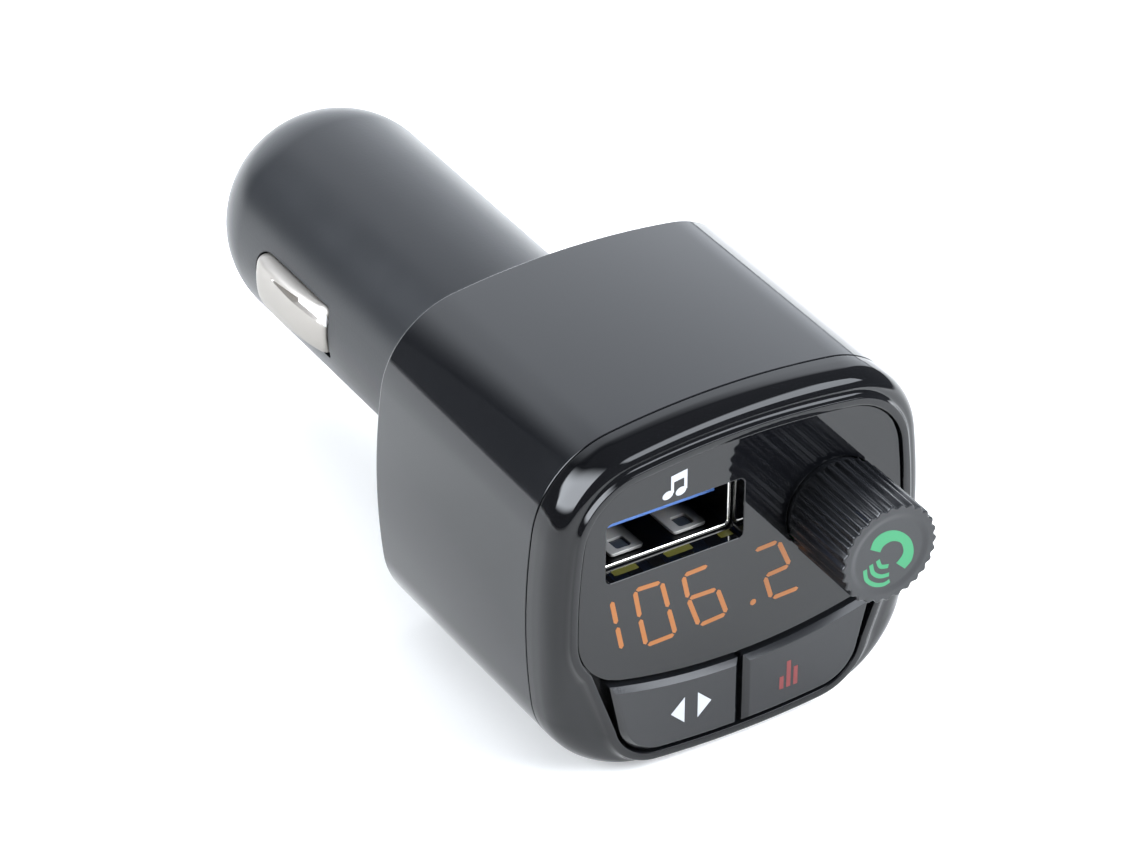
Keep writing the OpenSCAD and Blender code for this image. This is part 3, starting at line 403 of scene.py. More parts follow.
def handling(tree):
    """Roughness that wanders with faint smudges: Base and Spread in, Roughness out."""
    inside, out = sockets(tree, {"Base": "Float", "Spread": "Float"}, {"Roughness": "Float"})
    where = tree.nodes.new("ShaderNodeTexCoord")
    noise = tree.nodes.new("ShaderNodeTexNoise")
    ramp = tree.nodes.new("ShaderNodeMapRange")
    total = tree.nodes.new("ShaderNodeMath")
    scaled = tree.nodes.new("ShaderNodeMath")
    noise.inputs["Scale"].default_value = 140
    noise.inputs["Detail"].default_value = 5
    ramp.inputs["From Min"].default_value = 0.45
    ramp.inputs["From Max"].default_value = 0.75
    scaled.operation = "MULTIPLY"
    wire(
        tree,
        (where, "Object", noise, "Vector"),
        (noise, "Fac", ramp, "Value"),
        (ramp, "Result", scaled, 0),
        (inside, "Spread", scaled, 1),
        (scaled, "Value", total, 0),
        (inside, "Base", total, 1),
        (total, "Value", out, "Roughness"),
    )


def dust(tree):
    """A few pale specks of lint over a colour: Color and Amount in, Color out."""
    inside, out = sockets(tree, {"Color": "Color", "Amount": "Float"}, {"Color": "Color"})
    where = tree.nodes.new("ShaderNodeTexCoord")
    cells = tree.nodes.new("ShaderNodeTexVoronoi")
    near = tree.nodes.new("ShaderNodeMath")
    some = tree.nodes.new("ShaderNodeMath")
    both = tree.nodes.new("ShaderNodeMath")
    pick = tree.nodes.new("ShaderNodeSeparateColor")
    mix = tree.nodes.new("ShaderNodeMix")
    cells.inputs["Scale"].default_value = 420
    near.operation = "LESS_THAN"
    near.inputs[1].default_value = 0.045
    some.operation = "LESS_THAN"
    both.operation = "MULTIPLY"
    mix.data_type = "RGBA"
    mix.inputs["B"].default_value = (0.5, 0.5, 0.5, 1)
    wire(
        tree,
        (where, "Object", cells, "Vector"),
        (cells, "Distance", near, 0),
        (cells, "Color", pick, "Color"),
        (pick, "Red", some, 0),
        (inside, "Amount", some, 1),
        (near, "Value", both, 0),
        (some, "Value", both, 1),
        (both, "Value", mix, "Factor"),
        (inside, "Color", mix, "A"),
        (mix, "Result", out, "Color"),
    )


def side_shade(tree):
    """A colour that darkens along +X of the row frame: Color, From and To in, Color out."""
    inside, out = sockets(tree, {"Color": "Color", "From": "Float", "To": "Float"}, {"Color": "Color"})
    where = tree.nodes.new("ShaderNodeTexCoord")
    axes = tree.nodes.new("ShaderNodeSeparateXYZ")
    fade = tree.nodes.new("ShaderNodeMapRange")
    mix = tree.nodes.new("ShaderNodeMix")
    fade.interpolation_type = "SMOOTHSTEP"
    mix.data_type = "RGBA"
    mix.inputs["B"].default_value = (0.012, 0.012, 0.012, 1)
    wire(
        tree,
        (where, "Object", axes, "Vector"),
        (axes, "X", fade, "Value"),
        (inside, "From", fade, "From Min"),
        (inside, "To", fade, "From Max"),
        (fade, "Result", mix, "Factor"),
        (inside, "Color", mix, "A"),
        (mix, "Result", out, "Color"),
    )


GRAIN = group("moulded grain", fine_grain)
HANDLING = group("faint smudges", handling)
DUST = group("lint specks", dust)
SHADE = group("side shade", side_shade)


def use_group(tree, node_tree, values):
    """A node of a shader group, with its inputs set by name."""
    node = tree.nodes.new("ShaderNodeGroup")
    node.node_tree = node_tree
    for name, value in values.items():
        node.inputs[name].default_value = value
    return node


def finish(name, color, roughness, metallic=0.0, spread=0.04, grain=None, lint=0.0, ior=1.45, glow=None,
           shade=None):
    """A principled shader with smudged roughness.

    grain is scale and strength, lint an amount, glow a colour and strength, and shade the two places
    between which the colour darkens.
    """
    material = bpy.data.materials.new(name)
    material.use_nodes = True
    tree = material.node_tree
    shader = tree.nodes["Principled BSDF"]
    base = (*color, 1)
    shader.inputs["Base Color"].default_value = base
    shader.inputs["Metallic"].default_value = metallic
    shader.inputs["IOR"].default_value = ior
    rough = use_group(tree, HANDLING, {"Base": roughness, "Spread": spread})
    wire(tree, (rough, "Roughness", shader, "Roughness"))
    if grain:
        bump = use_group(tree, GRAIN, {"Scale": grain[0], "Strength": grain[1]})
        wire(tree, (bump, "Normal", shader, "Normal"))
    if lint:
        specks = use_group(tree, DUST, {"Color": base, "Amount": lint})
        wire(tree, (specks, "Color", shader, "Base Color"))
    if shade:
        fading = use_group(tree, SHADE, {"Color": base, "From": shade[0], "To": shade[1]})
        wire(tree, (fading, "Color", shader, "Base Color"))
    if glow:
        shader.inputs["Emission Color"].default_value = (*glow[0], 1)
        shader.inputs["Emission Strength"].default_value = glow[1]
    return material


BARREL_PLASTIC = finish("matte barrel plastic", (0.011, 0.012, 0.014), 0.3, grain=(4000, 0.25), ior=1.43)
SLEEVE_PLASTIC = finish("satin sleeve plastic", (0.011, 0.0115, 0.013), 0.07, lint=0.02, ior=1.43)
BEZEL_PLASTIC = finish("high gloss bezel plastic", (0.005, 0.0052, 0.006), 0.03, spread=0.02, ior=1.4)
LENS_PLASTIC = finish("smoked lens", (0.003, 0.0032, 0.004), 0.03, spread=0.03, lint=0.02)
KEY_FINISH = finish("satin key plastic", (0.012, 0.0125, 0.014), 0.15, grain=(6000, 0.15))
KNOB_FINISH = finish("fluted knob plastic", (0.009, 0.0095, 0.011), 0.24)
KNOB_FACE = finish("textured knob face", (0.014, 0.0145, 0.016), 0.34, grain=(9000, 0.5))
NICKEL = finish("satin nickel", (0.35, 0.33, 0.305), 0.42, metallic=0.95)
# Lighter copy of the contact's nickel for the tongue towards the head: a painted highlight
TONGUE_PAINTED_HIGHLIGHT = finish("tongue nickel with painted highlight", (0.95, 0.93, 0.92), 0.4, metallic=0.8)
BRASS = finish("turned brass", (0.72, 0.52, 0.24), 0.25, metallic=1.0)
STEEL = finish("bright steel", (0.55, 0.56, 0.58), 0.25, metallic=1.0)
SPRING_STEEL = finish("drawn spring steel", (0.5, 0.5, 0.52), 0.3, metallic=1.0)
TINNED = finish("tinned shell", (0.85, 0.83, 0.78), 0.2, metallic=1.0)
# The port's walls are its tinned shell painted near black: painted shade
SHELL_PAINTED_SHADE = finish("shell walls with painted shade", (0.035, 0.035, 0.036), 0.3, metallic=1.0)
FINGER_SHADE = 0.0021
FINGER_METALS = [
    finish("spring finger metal, " + side, (0.42, 0.41, 0.39), 0.4, metallic=0.35, shade=(x, x + FINGER_SHADE))
    for side, x in (("left", -0.0101), ("right", -0.0040))
]
# Dark panes in the fingers' eyes: painted shade
FINGER_EYE_PAINTED_SHADE = finish("painted shade in the fingers' eyes", (0.05, 0.06, 0.075), 0.3, metallic=0.3)
USB_BLUE = finish("blue insulator", (0.04, 0.12, 0.36), 0.35)
GOLD = finish("gold plate", (0.85, 0.62, 0.22), 0.2, metallic=1.0)
LAMINATE = finish("green solder mask", (0.01, 0.11, 0.045), 0.2)
MOULDING = finish("black moulding", (0.02, 0.02, 0.022), 0.4)
WHITE_MOULDING = finish("white moulding", (0.7, 0.69, 0.65), 0.4)
EPOXY = finish("chip epoxy", (0.02, 0.02, 0.021), 0.5)
CERAMIC = finish("ceramic fuse", (0.7, 0.66, 0.55), 0.5)
FERRITE = finish("sintered ferrite", (0.03, 0.03, 0.032), 0.5)
COPPER = finish("enamelled copper", (0.55, 0.2, 0.07), 0.3, metallic=1.0)
CAN = finish("drawn aluminium", (0.75, 0.76, 0.78), 0.2, metallic=1.0)
WHITE_INK = finish("white ink", (0.42, 0.43, 0.45), 0.5)
RED_INK = finish("dull red ink", (0.14, 0.022, 0.022), 0.5)
GREEN_INK = finish("green ink", (0.026, 0.2, 0.085), 0.5)
OLIVE_PATCHES = finish("olive patches", (0.075, 0.07, 0.007), 0.4)
SEGMENT_LIGHT = finish("lit segment", (0.13, 0.045, 0.008), 0.3, glow=((1.0, 0.33, 0.05), 0.3))

NODE_FINISHES = {
    "tip_contact": BRASS, "encoder_bush": BRASS, "spring_seat": BRASS, "encoder_push_plate": BRASS,
    "encoder_shaft": STEEL, "barrel_screws": STEEL, "front_board_screws": STEEL, "power_board_screws": STEEL,
    "wireless_shield": TINNED, "microphone": TINNED, "link_pins": GOLD,
    "front_board": LAMINATE, "power_board": LAMINATE, "barrel_board": LAMINATE, "wireless_module": LAMINATE,
    "encoder_body": MOULDING, "left_switch": MOULDING, "right_switch": MOULDING, "link_header": MOULDING,
    "display_module": WHITE_MOULDING, "left_switch_stem": WHITE_MOULDING, "right_switch_stem": WHITE_MOULDING,
    "regulator_chip": EPOXY, "radio_chip": EPOXY, "input_fuse": CERAMIC, "inductor_core": FERRITE,
    "inductor_winding": COPPER, "input_capacitor": CAN, "output_capacitor": CAN,
}
for node, material in NODE_FINISHES.items():
    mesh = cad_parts[node].data
    mesh.materials.clear()
    mesh.materials.append(material)


# Head


def ray_circle(outline, r, centre=(0.0, 0.0)):
    """Points of a circle, each in the direction of an outline's point."""
    points = []
    for x, y in outline:
        a = math.atan2(y - centre[1], x - centre[0])
        points.append((centre[0] + r * math.cos(a), centre[1] + r * math.sin(a)))
    return points


def build_sleeve():
    """Open box with a rounded rear edge, a fine front edge and a hole for the plug."""
    soft = 0.35
    rear_wall = 2.2
    outline = head_outline(0)
    hole = ray_circle(outline, PLUG_R + 0.05, (0, -HEAD_RISE))
    inner = head_outline(1.5)
    rings = [ring(hole, rear_wall), ring(hole, 0)]
    rings += [ring(head_outline(soft * (1 - math.sin(a))), soft * (1 - math.cos(a))) for a in quarter_turn(6)]
    rings += [
        ring(outline, SLEEVE_LEN - 0.06),
        ring(head_outline(0.03), SLEEVE_LEN - 0.01),
        ring(head_outline(0.1), SLEEVE_LEN),
        ring(inner, SLEEVE_LEN),
        ring(inner, rear_wall),
    ]
    new_piece("sleeve_skin", loft(rings, closed=True), SLEEVE_PLASTIC, "housing", "head_sleeve")


# Inset and height of the bezel's section, from the seam to the collar's outer edge
BEZEL_SHARES = [
    (0, 0), (0, 0.13), (0.008, 0.26), (0.05, 0.46), (0.14, 0.60), (0.27, 0.71), (0.43, 0.79),
    (0.60, 0.835), (0.76, 0.86), (0.86, 0.885), (0.93, 0.925), (0.975, 0.965), (1.0, 0.985),
]
# How far points of the collar's top lie outside the lens's pocket, and their drop below its height
COLLAR_TOP = [
    (COLLAR_W - 0.06, 0.02), (COLLAR_W - 0.14, 0.0), (0.16, 0.0), (0.07, 0.02), (0.02, 0.08), (0, 0.17),
]
DISPLAY_WINDOW = [(-13.8, -4.8), (4.2, -4.8), (4.2, 3.3), (-13.8, 3.3)]


def usb_opening():
    return round_rect(USB, USB_W + 2 * USB_CLEAR, USB_H + 2 * USB_CLEAR, 0.6)


def build_bezel():
    """Skin from a skirt inside the sleeve over the collar into the lens's pocket, and the pocket's floor."""
    outer = head_outline(0)
    rim = face_outline(LENS_GAP + COLLAR_W)
    pocket = face_outline(LENS_GAP - 0.1)
    skirt_out, skirt_in = head_outline(1.65), head_outline(2.65)
    skirt_z = SLEEVE_LEN - 2
    low = SLEEVE_LEN + SEAM
    rise = COLLAR_Z - low
    rings = [
        ring(skirt_in, FLOOR_BACK_Z),
        ring(skirt_in, skirt_z),
        ring(skirt_out, skirt_z),
        ring(skirt_out, low),
        ring(head_outline(0.1), low),
        ring(head_outline(0.03), low + 0.02),
        ring(outer, low + 0.08),
    ]
    for t, h in smooth_path(BEZEL_SHARES, 4)[1:]:
        rings.append(ring(blend(outer, rim, t), max(low + 0.1, low + h * rise)))
    for grow, drop in COLLAR_TOP:
        rings.append(ring(face_outline(LENS_GAP + grow), COLLAR_Z - drop))
    rings += [ring(face_outline(LENS_GAP), FLOOR_Z), ring(pocket, FLOOR_Z), ring(pocket, FLOOR_BACK_Z)]
    new_piece("bezel_skin", loft(rings, closed=True), BEZEL_PLASTIC, "housing", "front_bezel", angle=50)
    keys = key_outline(KEY_CLEAR, 0.0)
    both_keys = keys + [(-x, y) for x, y in reversed(keys)]
    outlines = [pocket, usb_opening(), circle(KNOB, KNOB_HOLE_R, 96), both_keys, DISPLAY_WINDOW]
    floor = plate(outlines, FLOOR_BACK_Z, FLOOR_Z)
    new_piece("bezel_floor", floor, BEZEL_PLASTIC, "housing", "front_bezel")


def build_lens():
    outlines = [lens_outline(0), usb_opening(), circle(KNOB, KNOB_NECK_R + NECK_CLEAR, 120)]
    bm = plate(outlines, FLOOR_Z, LENS_Z, bevel=0.1)
    # The sharp angle is small, so that the face stays a flat mirror up to its bevel
    new_piece("lens_window", bm, LENS_PLASTIC, "housing", "display_lens", angle=8)


def build_key(side, body, node):
    """Key with a chamfer along its outline and fine edges on both sides of it."""
    inner = KEY_SPLIT / 2
    chamfer = 0.45
    soft = 0.07

    def level(grow, z, inner_x):
        outline = key_outline(grow, inner_x)
        return ring([(side * x, y) for x, y in outline], z)

    rings = [
        level(0, FLOOR_BACK_Z - 0.1, inner),
        level(0, KEY_Z - chamfer - soft, inner),
        level(-0.3 * soft, KEY_Z - chamfer, inner + 0.3 * soft),
        level(soft * 0.7 - chamfer, KEY_Z - soft * 0.9, inner + chamfer - soft * 0.7),
        level(-chamfer, KEY_Z - soft * 0.2, inner + chamfer),
        level(-chamfer - soft, KEY_Z, inner + chamfer + soft),
    ]
    bm = loft(rings, cap_start=True, cap_end=True)
    new_piece(node + "_cap", bm, KEY_FINISH, body, node, angle=8)


def build_knob():
    """Fluted grip on a plain neck: rings that follow the scallops, then a flat face with a shallow dish."""
    flutes, per_flute, half_depth = 28, 12, 0.13
    turn = full_turn(flutes * per_flute)
    radii = [
        KNOB_R - 0.02 - half_depth * (1 - math.cos(2 * math.pi * ((i % per_flute) / per_flute)))
        for i in range(len(turn))
    ]

    def level(shrink, z, fluted=True):
        points = []
        for a, r in zip(turn, radii):
            r = (r if fluted else KNOB_R - 0.3) - shrink
            points.append((KNOB[0] + r * math.cos(a), KNOB[1] + r * math.sin(a)))
        return ring(points, z)

    back_soft, soft = 0.12, 0.13
    neck = circle(KNOB, KNOB_NECK_R, len(turn))
    rings = [ring(neck, KNOB_BACK_Z), ring(neck, GRIP_Z)]
    rings += [level(back_soft, GRIP_Z), level(0, GRIP_Z + back_soft)]
    rings += [level(soft * (1 - math.cos(a)), KNOB_Z - soft * (1 - math.sin(a))) for a in quarter_turn(6)]
    new_piece("knob_grip", loft(rings, cap_start=True), KNOB_FINISH, "knob", "knob", angle=40)
    dish_r, dish_w = 3.95, 0.75
    face = [level(soft, KNOB_Z), level(soft + 0.15, KNOB_Z, fluted=False)]
    for t in (i / 12 for i in range(13)):
        face.append(ring(circle(KNOB, dish_r - dish_w * t, len(turn)), KNOB_Z - DISH * t * t * (3 - 2 * t)))
    face.append(ring(circle(KNOB, 0.02, len(turn)), KNOB_Z - DISH))
    new_piece("knob_face", loft(face, cap_end=True), KNOB_FACE, "knob", "knob", angle=40)


# Plug


def revolve(section, steps):
    """Rings of a section of (radius, z) turned about the plug's axis."""
    return [[on_plug(r * math.cos(a), r * math.sin(a), z) for a in full_turn(steps)] for r, z in section]


def cut_with(obj, cutter):
    """Cuts a piece by another object, which then goes."""
    modifier = obj.modifiers.new("cut", "BOOLEAN")
    modifier.operation = "DIFFERENCE"
    modifier.solver = "EXACT"
    modifier.object = cutter
    bpy.context.view_layer.update()
    evaluated = obj.evaluated_get(bpy.context.evaluated_depsgraph_get())
    mesh = bpy.data.meshes.new_from_object(evaluated)
    obj.modifiers.clear()
    old = obj.data
    name = old.name
    obj.data = mesh
    bpy.data.meshes.remove(old)
    mesh.name = name
    bpy.data.objects.remove(cutter)


def slot_outline(length, height, corner):
    """Slot from its square end at 0 to its round end."""
    r = height / 2
    points = arc((length - r, 0), r, DOWN, UP, 24) + [(length - r, r)]
    points += arc((corner, r - corner), corner, UP, math.pi, 6) + [(0, r - corner)]
    points += arc((corner, corner - r), corner, math.pi, 1.5 * math.pi, 6) + [(corner, -r)]
    return points


def build_barrel():
    """Turned tube with a dome, a flange inside the sleeve and a slot on either side."""
    dome_z = -(PLUG_LEN - DOME_LEN)
    dome = [(PLUG_R * math.sin(a), dome_z - DOME_LEN * math.cos(a)) for a in quarter_turn(40)]
    section = [(TIP_R, -PLUG_LEN + 2.5)]
    section += [(r, z) for r, z in dome if r > TIP_R]
    section += [(PLUG_R, 2.1), (FLANGE_R, 2.2), (FLANGE_R, 3.8), (BORE_R, 3.8)]
    section += [(BORE_R, dome_z), (BORE_R * 0.75, -PLUG_LEN + DOME_LEN * 0.5), (4.0, -PLUG_LEN + 2.6)]
    bm = loft(revolve(section, 144), closed=True)
    barrel = new_piece("barrel_skin", bm, BARREL_PLASTIC, "housing", "plug_barrel", angle=40)
    for side in (-1, 1):
        outline = slot_outline(SLOT_LEN, SLOT_H, 0.6)
        rings = [[on_plug(side * depth, y, -SLOT_START - x) for x, y in outline] for depth in (5.0, 12.0)]
        bm = loft(rings, cap_start=True, cap_end=True)
        bmesh.ops.recalc_face_normals(bm, faces=bm.faces)
        mesh = bpy.data.meshes.new("slot cutter")
        bm.to_mesh(mesh)
        bm.free()
        cutter = bpy.data.objects.new("slot cutter", mesh)
        bpy.context.scene.collection.objects.link(cutter)
        cut_with(barrel, cutter)
    barrel.data.shade_smooth()
    barrel.data.set_sharp_from_angle(angle=math.radians(40))


def along(table, u):
    """Value of a table of (place, value) at u, in straight lines."""
    for (a, low), (b, high) in zip(table, table[1:]):
        if u <= b:
            return low + (high - low) * (u - a) / (b - a)
    return table[-1][1]


# Side contact, with places counted from its middle towards the nose: distance of its crest
# from the axis, the two sides of its vee, and the tongue that lies in the vee
CONTACT_HALF_LEN = 6.4
CONTACT_HALF_H = 2.5
CONTACT_FOOT_R = 9.0
CREST_POINTS = [
    (-6.4, 10.62), (-5.5, 10.95), (-4, 11.26), (-2, 11.51), (0, 11.6), (2, 11.6),
    (4, 11.5), (5, 11.22), (5.7, 10.75), (6.1, 10.3), (6.4, 9.8),
]
CREST = smooth_path(CREST_POINTS, 8)
VEE_LOW = [(-6.4, 1.05), (2.8, 1.68), (6.4, 0.6)]
VEE_HIGH = [(-6.4, 2.6), (-5.6, 2.55), (-5.1, 2.25), (2.8, 1.72), (6.4, 0.64)]
TONGUE = [(-6.4, 10.5), (-2.3, 10.98), (-2.1, 10.78), (0.6, 10.95), (2.8, 11.72), (6.4, 14.0)]
# From this place towards the head the tongue is painted lighter: a painted highlight
TONGUE_HIGHLIGHT_TO = -2.1


def contact_half_width(u):
    """Half of the contact's width: round towards the nose, with small corners towards the head."""
    nose = CONTACT_HALF_LEN - CONTACT_HALF_H
    corner = 1.1
    if u > nose:
        return math.sqrt(max(CONTACT_HALF_H**2 - (u - nose) ** 2, 0.0004))
    if u < corner - CONTACT_HALF_LEN:
        return CONTACT_HALF_H - corner + math.sqrt(max(corner**2 - (corner - CONTACT_HALF_LEN - u) ** 2, 0.0))
    return CONTACT_HALF_H


def rounded(distance, r):
    """Drop of a rounded edge at a distance inside it."""
    return r - math.sqrt(max(r * r - max(r - distance, 0.0) ** 2, 0.0))


def pillow(u, v, half):
    """Distance of the folded sheet from the plug's axis at place u and height v."""
    crest = along(CREST, u)
    drop = 0.3 * (v / CONTACT_HALF_H) ** 4 + rounded(half - abs(v), 0.5) + rounded(u + CONTACT_HALF_LEN, 0.25)
    return math.sqrt(crest**2 - v * v) - drop


def build_contact(side, body, node):
    """A pillow of folded sheet over the slot, split near the head by a vee over a tongue."""
    steps = 84
    vee_from, vee_to = 23, 28
    rows = []
    for k in range(steps + 1):
        u = CONTACT_HALF_LEN * math.cos(math.pi * k / steps)
        half = contact_half_width(u)
        share = half / CONTACT_HALF_H
        low = min(along(VEE_LOW, u) * share, half - 0.1 * share)
        high = min(max(along(VEE_HIGH, u) * share, low + 0.05 * share), half - 0.02 * share)
        wall = min(0.14, (high - low) / 3)
        # Heights across a row: cover below, up to the vee, the vee with its two walls, cover above
        vs = [-half * math.cos(a) for a in quarter_turn(14)]
        vs += [low * i / 8 for i in range(1, 9)]
        vs += [low + wall] + [low + wall + (high - low - 2 * wall) * i / 5 for i in range(1, 6)] + [high]
        vs += [high + (half - high) * math.sin(a) for a in quarter_turn(6)[1:]]
        row = []
        for i, v in enumerate(vs):
            h = pillow(u, v, half)
            if vee_from <= i <= vee_to:
                edge_drop = rounded(u + CONTACT_HALF_LEN, 0.2)
                h = min(h, math.sqrt(along(TONGUE, u) ** 2 - v * v) + 0.12 - edge_drop)
            row.append((u, v, h))
        rows.append(row)
    bm = bmesh.new()
    middle = -SLOT_START - SLOT_LEN / 2
    grid = [[bm.verts.new(on_plug(side * h, v, middle - u)) for u, v, h in row] for row in rows]
    for near, far, row in zip(grid, grid[1:], rows):
        for i in range(len(near) - 1):
            face = bm.faces.new((near[i], near[i + 1], far[i + 1], far[i]))
            # The tongue's faces towards the head take the lighter nickel: a painted highlight
            face.material_index = int(vee_from <= i < vee_to and row[0][0] < TONGUE_HIGHLIGHT_TO)
    edge = [row[0] for row in grid] + grid[-1][1:]
    edge += [row[-1] for row in reversed(grid[:-1])] + grid[0][-2:0:-1]
    foot = [bm.verts.new((side * CONTACT_FOOT_R * MM, v.co.y, v.co.z)) for v in edge]
    for i in range(len(edge)):
        j = (i + 1) % len(edge)
        bm.faces.new((edge[i], edge[j], foot[j], foot[i]))
    crown = new_piece(node + "_crown", bm, NICKEL, body, node, angle=50)
    crown.data.materials.append(TONGUE_PAINTED_HIGHLIGHT)


def build_tip_spring():
    """Coil behind the tip contact."""
    wire_r, r, turns, around = 0.24, 2.5, 6, 24
    margin = wire_r + 0.01
    length = TIP_SPRING_TO - TIP_SPRING_FROM
    lift = (length - 2 * margin) / (turns * around)
    rings = []
    for k in range(turns * around + 1):
        a = 2 * math.pi * k / around
        section = []
        for b in full_turn(8):
            out = r + wire_r * math.cos(b)
            depth = TIP_SPRING_FROM + margin + k * lift + wire_r * math.sin(b)
            section.append(on_plug(out * math.cos(a), -out * math.sin(a), -depth))
        rings.append(section)
    bm = loft(rings, cap_start=True, cap_end=True)
    coil = new_piece("tip_spring_coil", bm, SPRING_STEEL, "housing", "tip_spring", angle=60)
    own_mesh(coil)


def build_leaf_spring(side, node):
    """Bowed leaf between barrel board and side contact."""
    half_len, half_w = 4.6, 1.5
    bow = LEAF_TO - LEAF_FROM - LEAF_SHEET
    r = (half_len**2 + bow**2) / (2 * bow)
    span = math.asin(half_len / r)
    centre = (LEAF_TO - LEAF_SHEET - r, 0)
    outline = arc(centre, r + LEAF_SHEET, -span, span, 24) + arc(centre, r + LEAF_SHEET, span, span + 1, 1)
    outline += arc(centre, r, span, -span, 24) + arc(centre, r, -span, -span - 1, 1)
    middle = SLOT_START + SLOT_LEN / 2
    rings = [[on_plug(side * x, y, -middle - u) for x, u in outline] for y in (-half_w, half_w)]
    bm = loft(rings, cap_start=True, cap_end=True)
    leaf = new_piece(node + "_leaf", bm, SPRING_STEEL, "housing", node, angle=40)
    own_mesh(leaf)


# USB port


def build_usb():
    """Shell of the port: walls darkened with painted shade, and a bright rim with fine edges."""
    soft = 0.06
    inner_w, inner_h = USB_W - 2 * USB_SHEET, USB_H - 2 * USB_SHEET
    outer = round_rect(USB, USB_W, USB_H, 0.6)
    inner = round_rect(USB, inner_w, inner_h, 0.4)
    outer_in = round_rect(USB, USB_W - 2 * soft, USB_H - 2 * soft, 0.55)
    inner_out = round_rect(USB, inner_w + 2 * soft, inner_h + 2 * soft, 0.45)
    edge_z = USB_MOUTH_Z - soft
    walls = [ring(inner, edge_z), ring(inner, USB_BACK_Z), ring(outer, USB_BACK_Z), ring(outer, edge_z)]
    new_piece("usb_walls", loft(walls), SHELL_PAINTED_SHADE, "housing", "usb_shell")
    rim = [ring(outer, edge_z), ring(outer_in, USB_MOUTH_Z)]
    rim += [ring(inner_out, USB_MOUTH_Z), ring(inner, edge_z)]
    new_piece("usb_rim", loft(rim), TINNED, "housing", "usb_shell")


def build_tongue():
    """Blue tongue with a chamfered lower edge at its mouth, the block that carries it, and its contacts."""
    low = USB[1] + USB_H / 2 - USB_SHEET - TONGUE_GAP - TONGUE_T
    high = low + TONGUE_T
    front = USB_MOUTH_Z - TONGUE_BACK
    chamfer_up, chamfer_back = 0.3, 0.4
    root = USB_BACK_Z + 1
    side = [(root, low), (front - chamfer_back, low), (front, low + chamfer_up), (front, high), (root, high)]
    rings = [[place(USB[0] + x, y, z) for z, y in side] for x in (-TONGUE_W / 2, TONGUE_W / 2)]
    bm = loft(rings, cap_start=True, cap_end=True)
    new_piece("tongue_blade", bm, USB_BLUE, "housing", "usb_tongue")
    block = round_rect(USB, USB_W - 2 * USB_SHEET, USB_H - 2 * USB_SHEET, 0.3)
    block_z = USB_BACK_Z + TONGUE_BLOCK_T
    bm = loft([ring(block, USB_BACK_Z), ring(block, block_z)], cap_start=True, cap_end=True)
    new_piece("tongue_block", bm, USB_BLUE, "housing", "usb_tongue")
    for i, x in enumerate((-3.5, -1.0, 1.0, 3.5)):
        strip = [(x - 0.5, low - 0.2), (x + 0.5, low - 0.2), (x + 0.5, low), (x - 0.5, low)]
        strip = [(USB[0] + u, v) for u, v in strip]
        bm = loft([ring(strip, block_z), ring(strip, front - 0.7)], cap_start=True, cap_end=True)
        new_piece("tongue_strip_%d" % (i + 1), bm, GOLD, "housing", "usb_contacts")


def build_usb_fingers():
    """Two spring fingers that rise from the shell's floor, each with a square eye that holds a dark pane of
    painted shade.
    """
    floor = USB[1] - USB_H / 2 + USB_SHEET
    length, width, sheet, rise = 6.0, 3.2, 0.3, 0.42
    eye_at = (0, -1.3)
    tip_z = USB_MOUTH_Z - 0.65
    outline = round_rect((0, -length / 2), width, length, 0.35)
    eye = round_rect(eye_at, 1.45, 1.6, 0.25)
    # A dark pane in each eye: painted shade
    shade_pane = round_rect(eye_at, 1.2, 1.35, 0.3)
    for name, x, metal in (("left", -3.05, FINGER_METALS[0]), ("right", 3.05, FINGER_METALS[1])):
        for kind, outlines, low, high, material in (
            ("finger", [outline, eye], 0, sheet, metal),
            ("eye", [shade_pane], 0.02, 0.12, FINGER_EYE_PAINTED_SHADE),
        ):
            bm = plate(outlines, low, high, bevel=0.04)
            # The plate was drawn flat on the face: lay it along the port and tip its near end up
            for v in bm.verts:
                across = v.co.x / MM
                back = v.co.z / MM - HEAD_RISE
                up = -v.co.y / MM
                slope = rise * (1 + back / length)
                v.co = place(USB[0] + x + across, floor + slope + up - sheet, tip_z + back)
            new_piece("usb_%s_%s" % (kind, name), bm, material, "housing", "usb_shell")


def build_window_patches():
    """Olive patches on the lower wall of the lens's opening for the port.

    Each is two films, one of them shorter and deeper, so that the corners aren't square.
    """
    wall = USB[1] - USB_H / 2 - USB_CLEAR
    bm = bmesh.new()
    for left, right in ((-11.95, -9.6), (-6.9, -4.35), (-1.65, 0.3)):
        for low, high, inset in ((0.75, 1.45, 0.0), (0.7, 1.5, 0.12)):
            corners = [(left + inset, low), (right - inset, low), (right - inset, high), (left + inset, high)]
            height = wall + FILM_T + inset / 40
            bm.faces.new([bm.verts.new(place(x, height, LENS_Z - depth)) for x, depth in corners])
    new_piece("window_patches", bm, OLIVE_PATCHES, "housing")


# Printed marks and lights

MARK_Z = LENS_Z + 0.004
KEY_MARK_Z = KEY_Z + 0.002
CALL_MARK_Z = KNOB_Z - DISH + 0.004
STROKE = 0.44
STROKE_GAP = 0.12


def print_shapes(name, shapes, z, material, body):
    """Prints flat shapes, each an outline, on a face as thin films."""
    bm = bmesh.new()
    for shape in shapes:
        part = plate([shape], z, z + FILM_T)
        mesh = bpy.data.meshes.new("part")
        part.to_mesh(mesh)
        part.free()
        bm.from_mesh(mesh)
        bpy.data.meshes.remove(mesh)
    new_piece(name, bm, material, body)


def segment(a, b):
    """A light segment with pointed ends, from a to b."""
    way = Vector((b[0] - a[0], b[1] - a[1]))
    way.normalize()
    side = Vector((-way.y, way.x)) * STROKE / 2
    start = Vector(a) + way * STROKE_GAP
    end = Vector(b) - way * STROKE_GAP
    tip = way * STROKE / 2
    corners = (start, start + tip - side, end - tip - side, end, end - tip + side, start + tip + side)
    return [tuple(corner) for corner in corners]


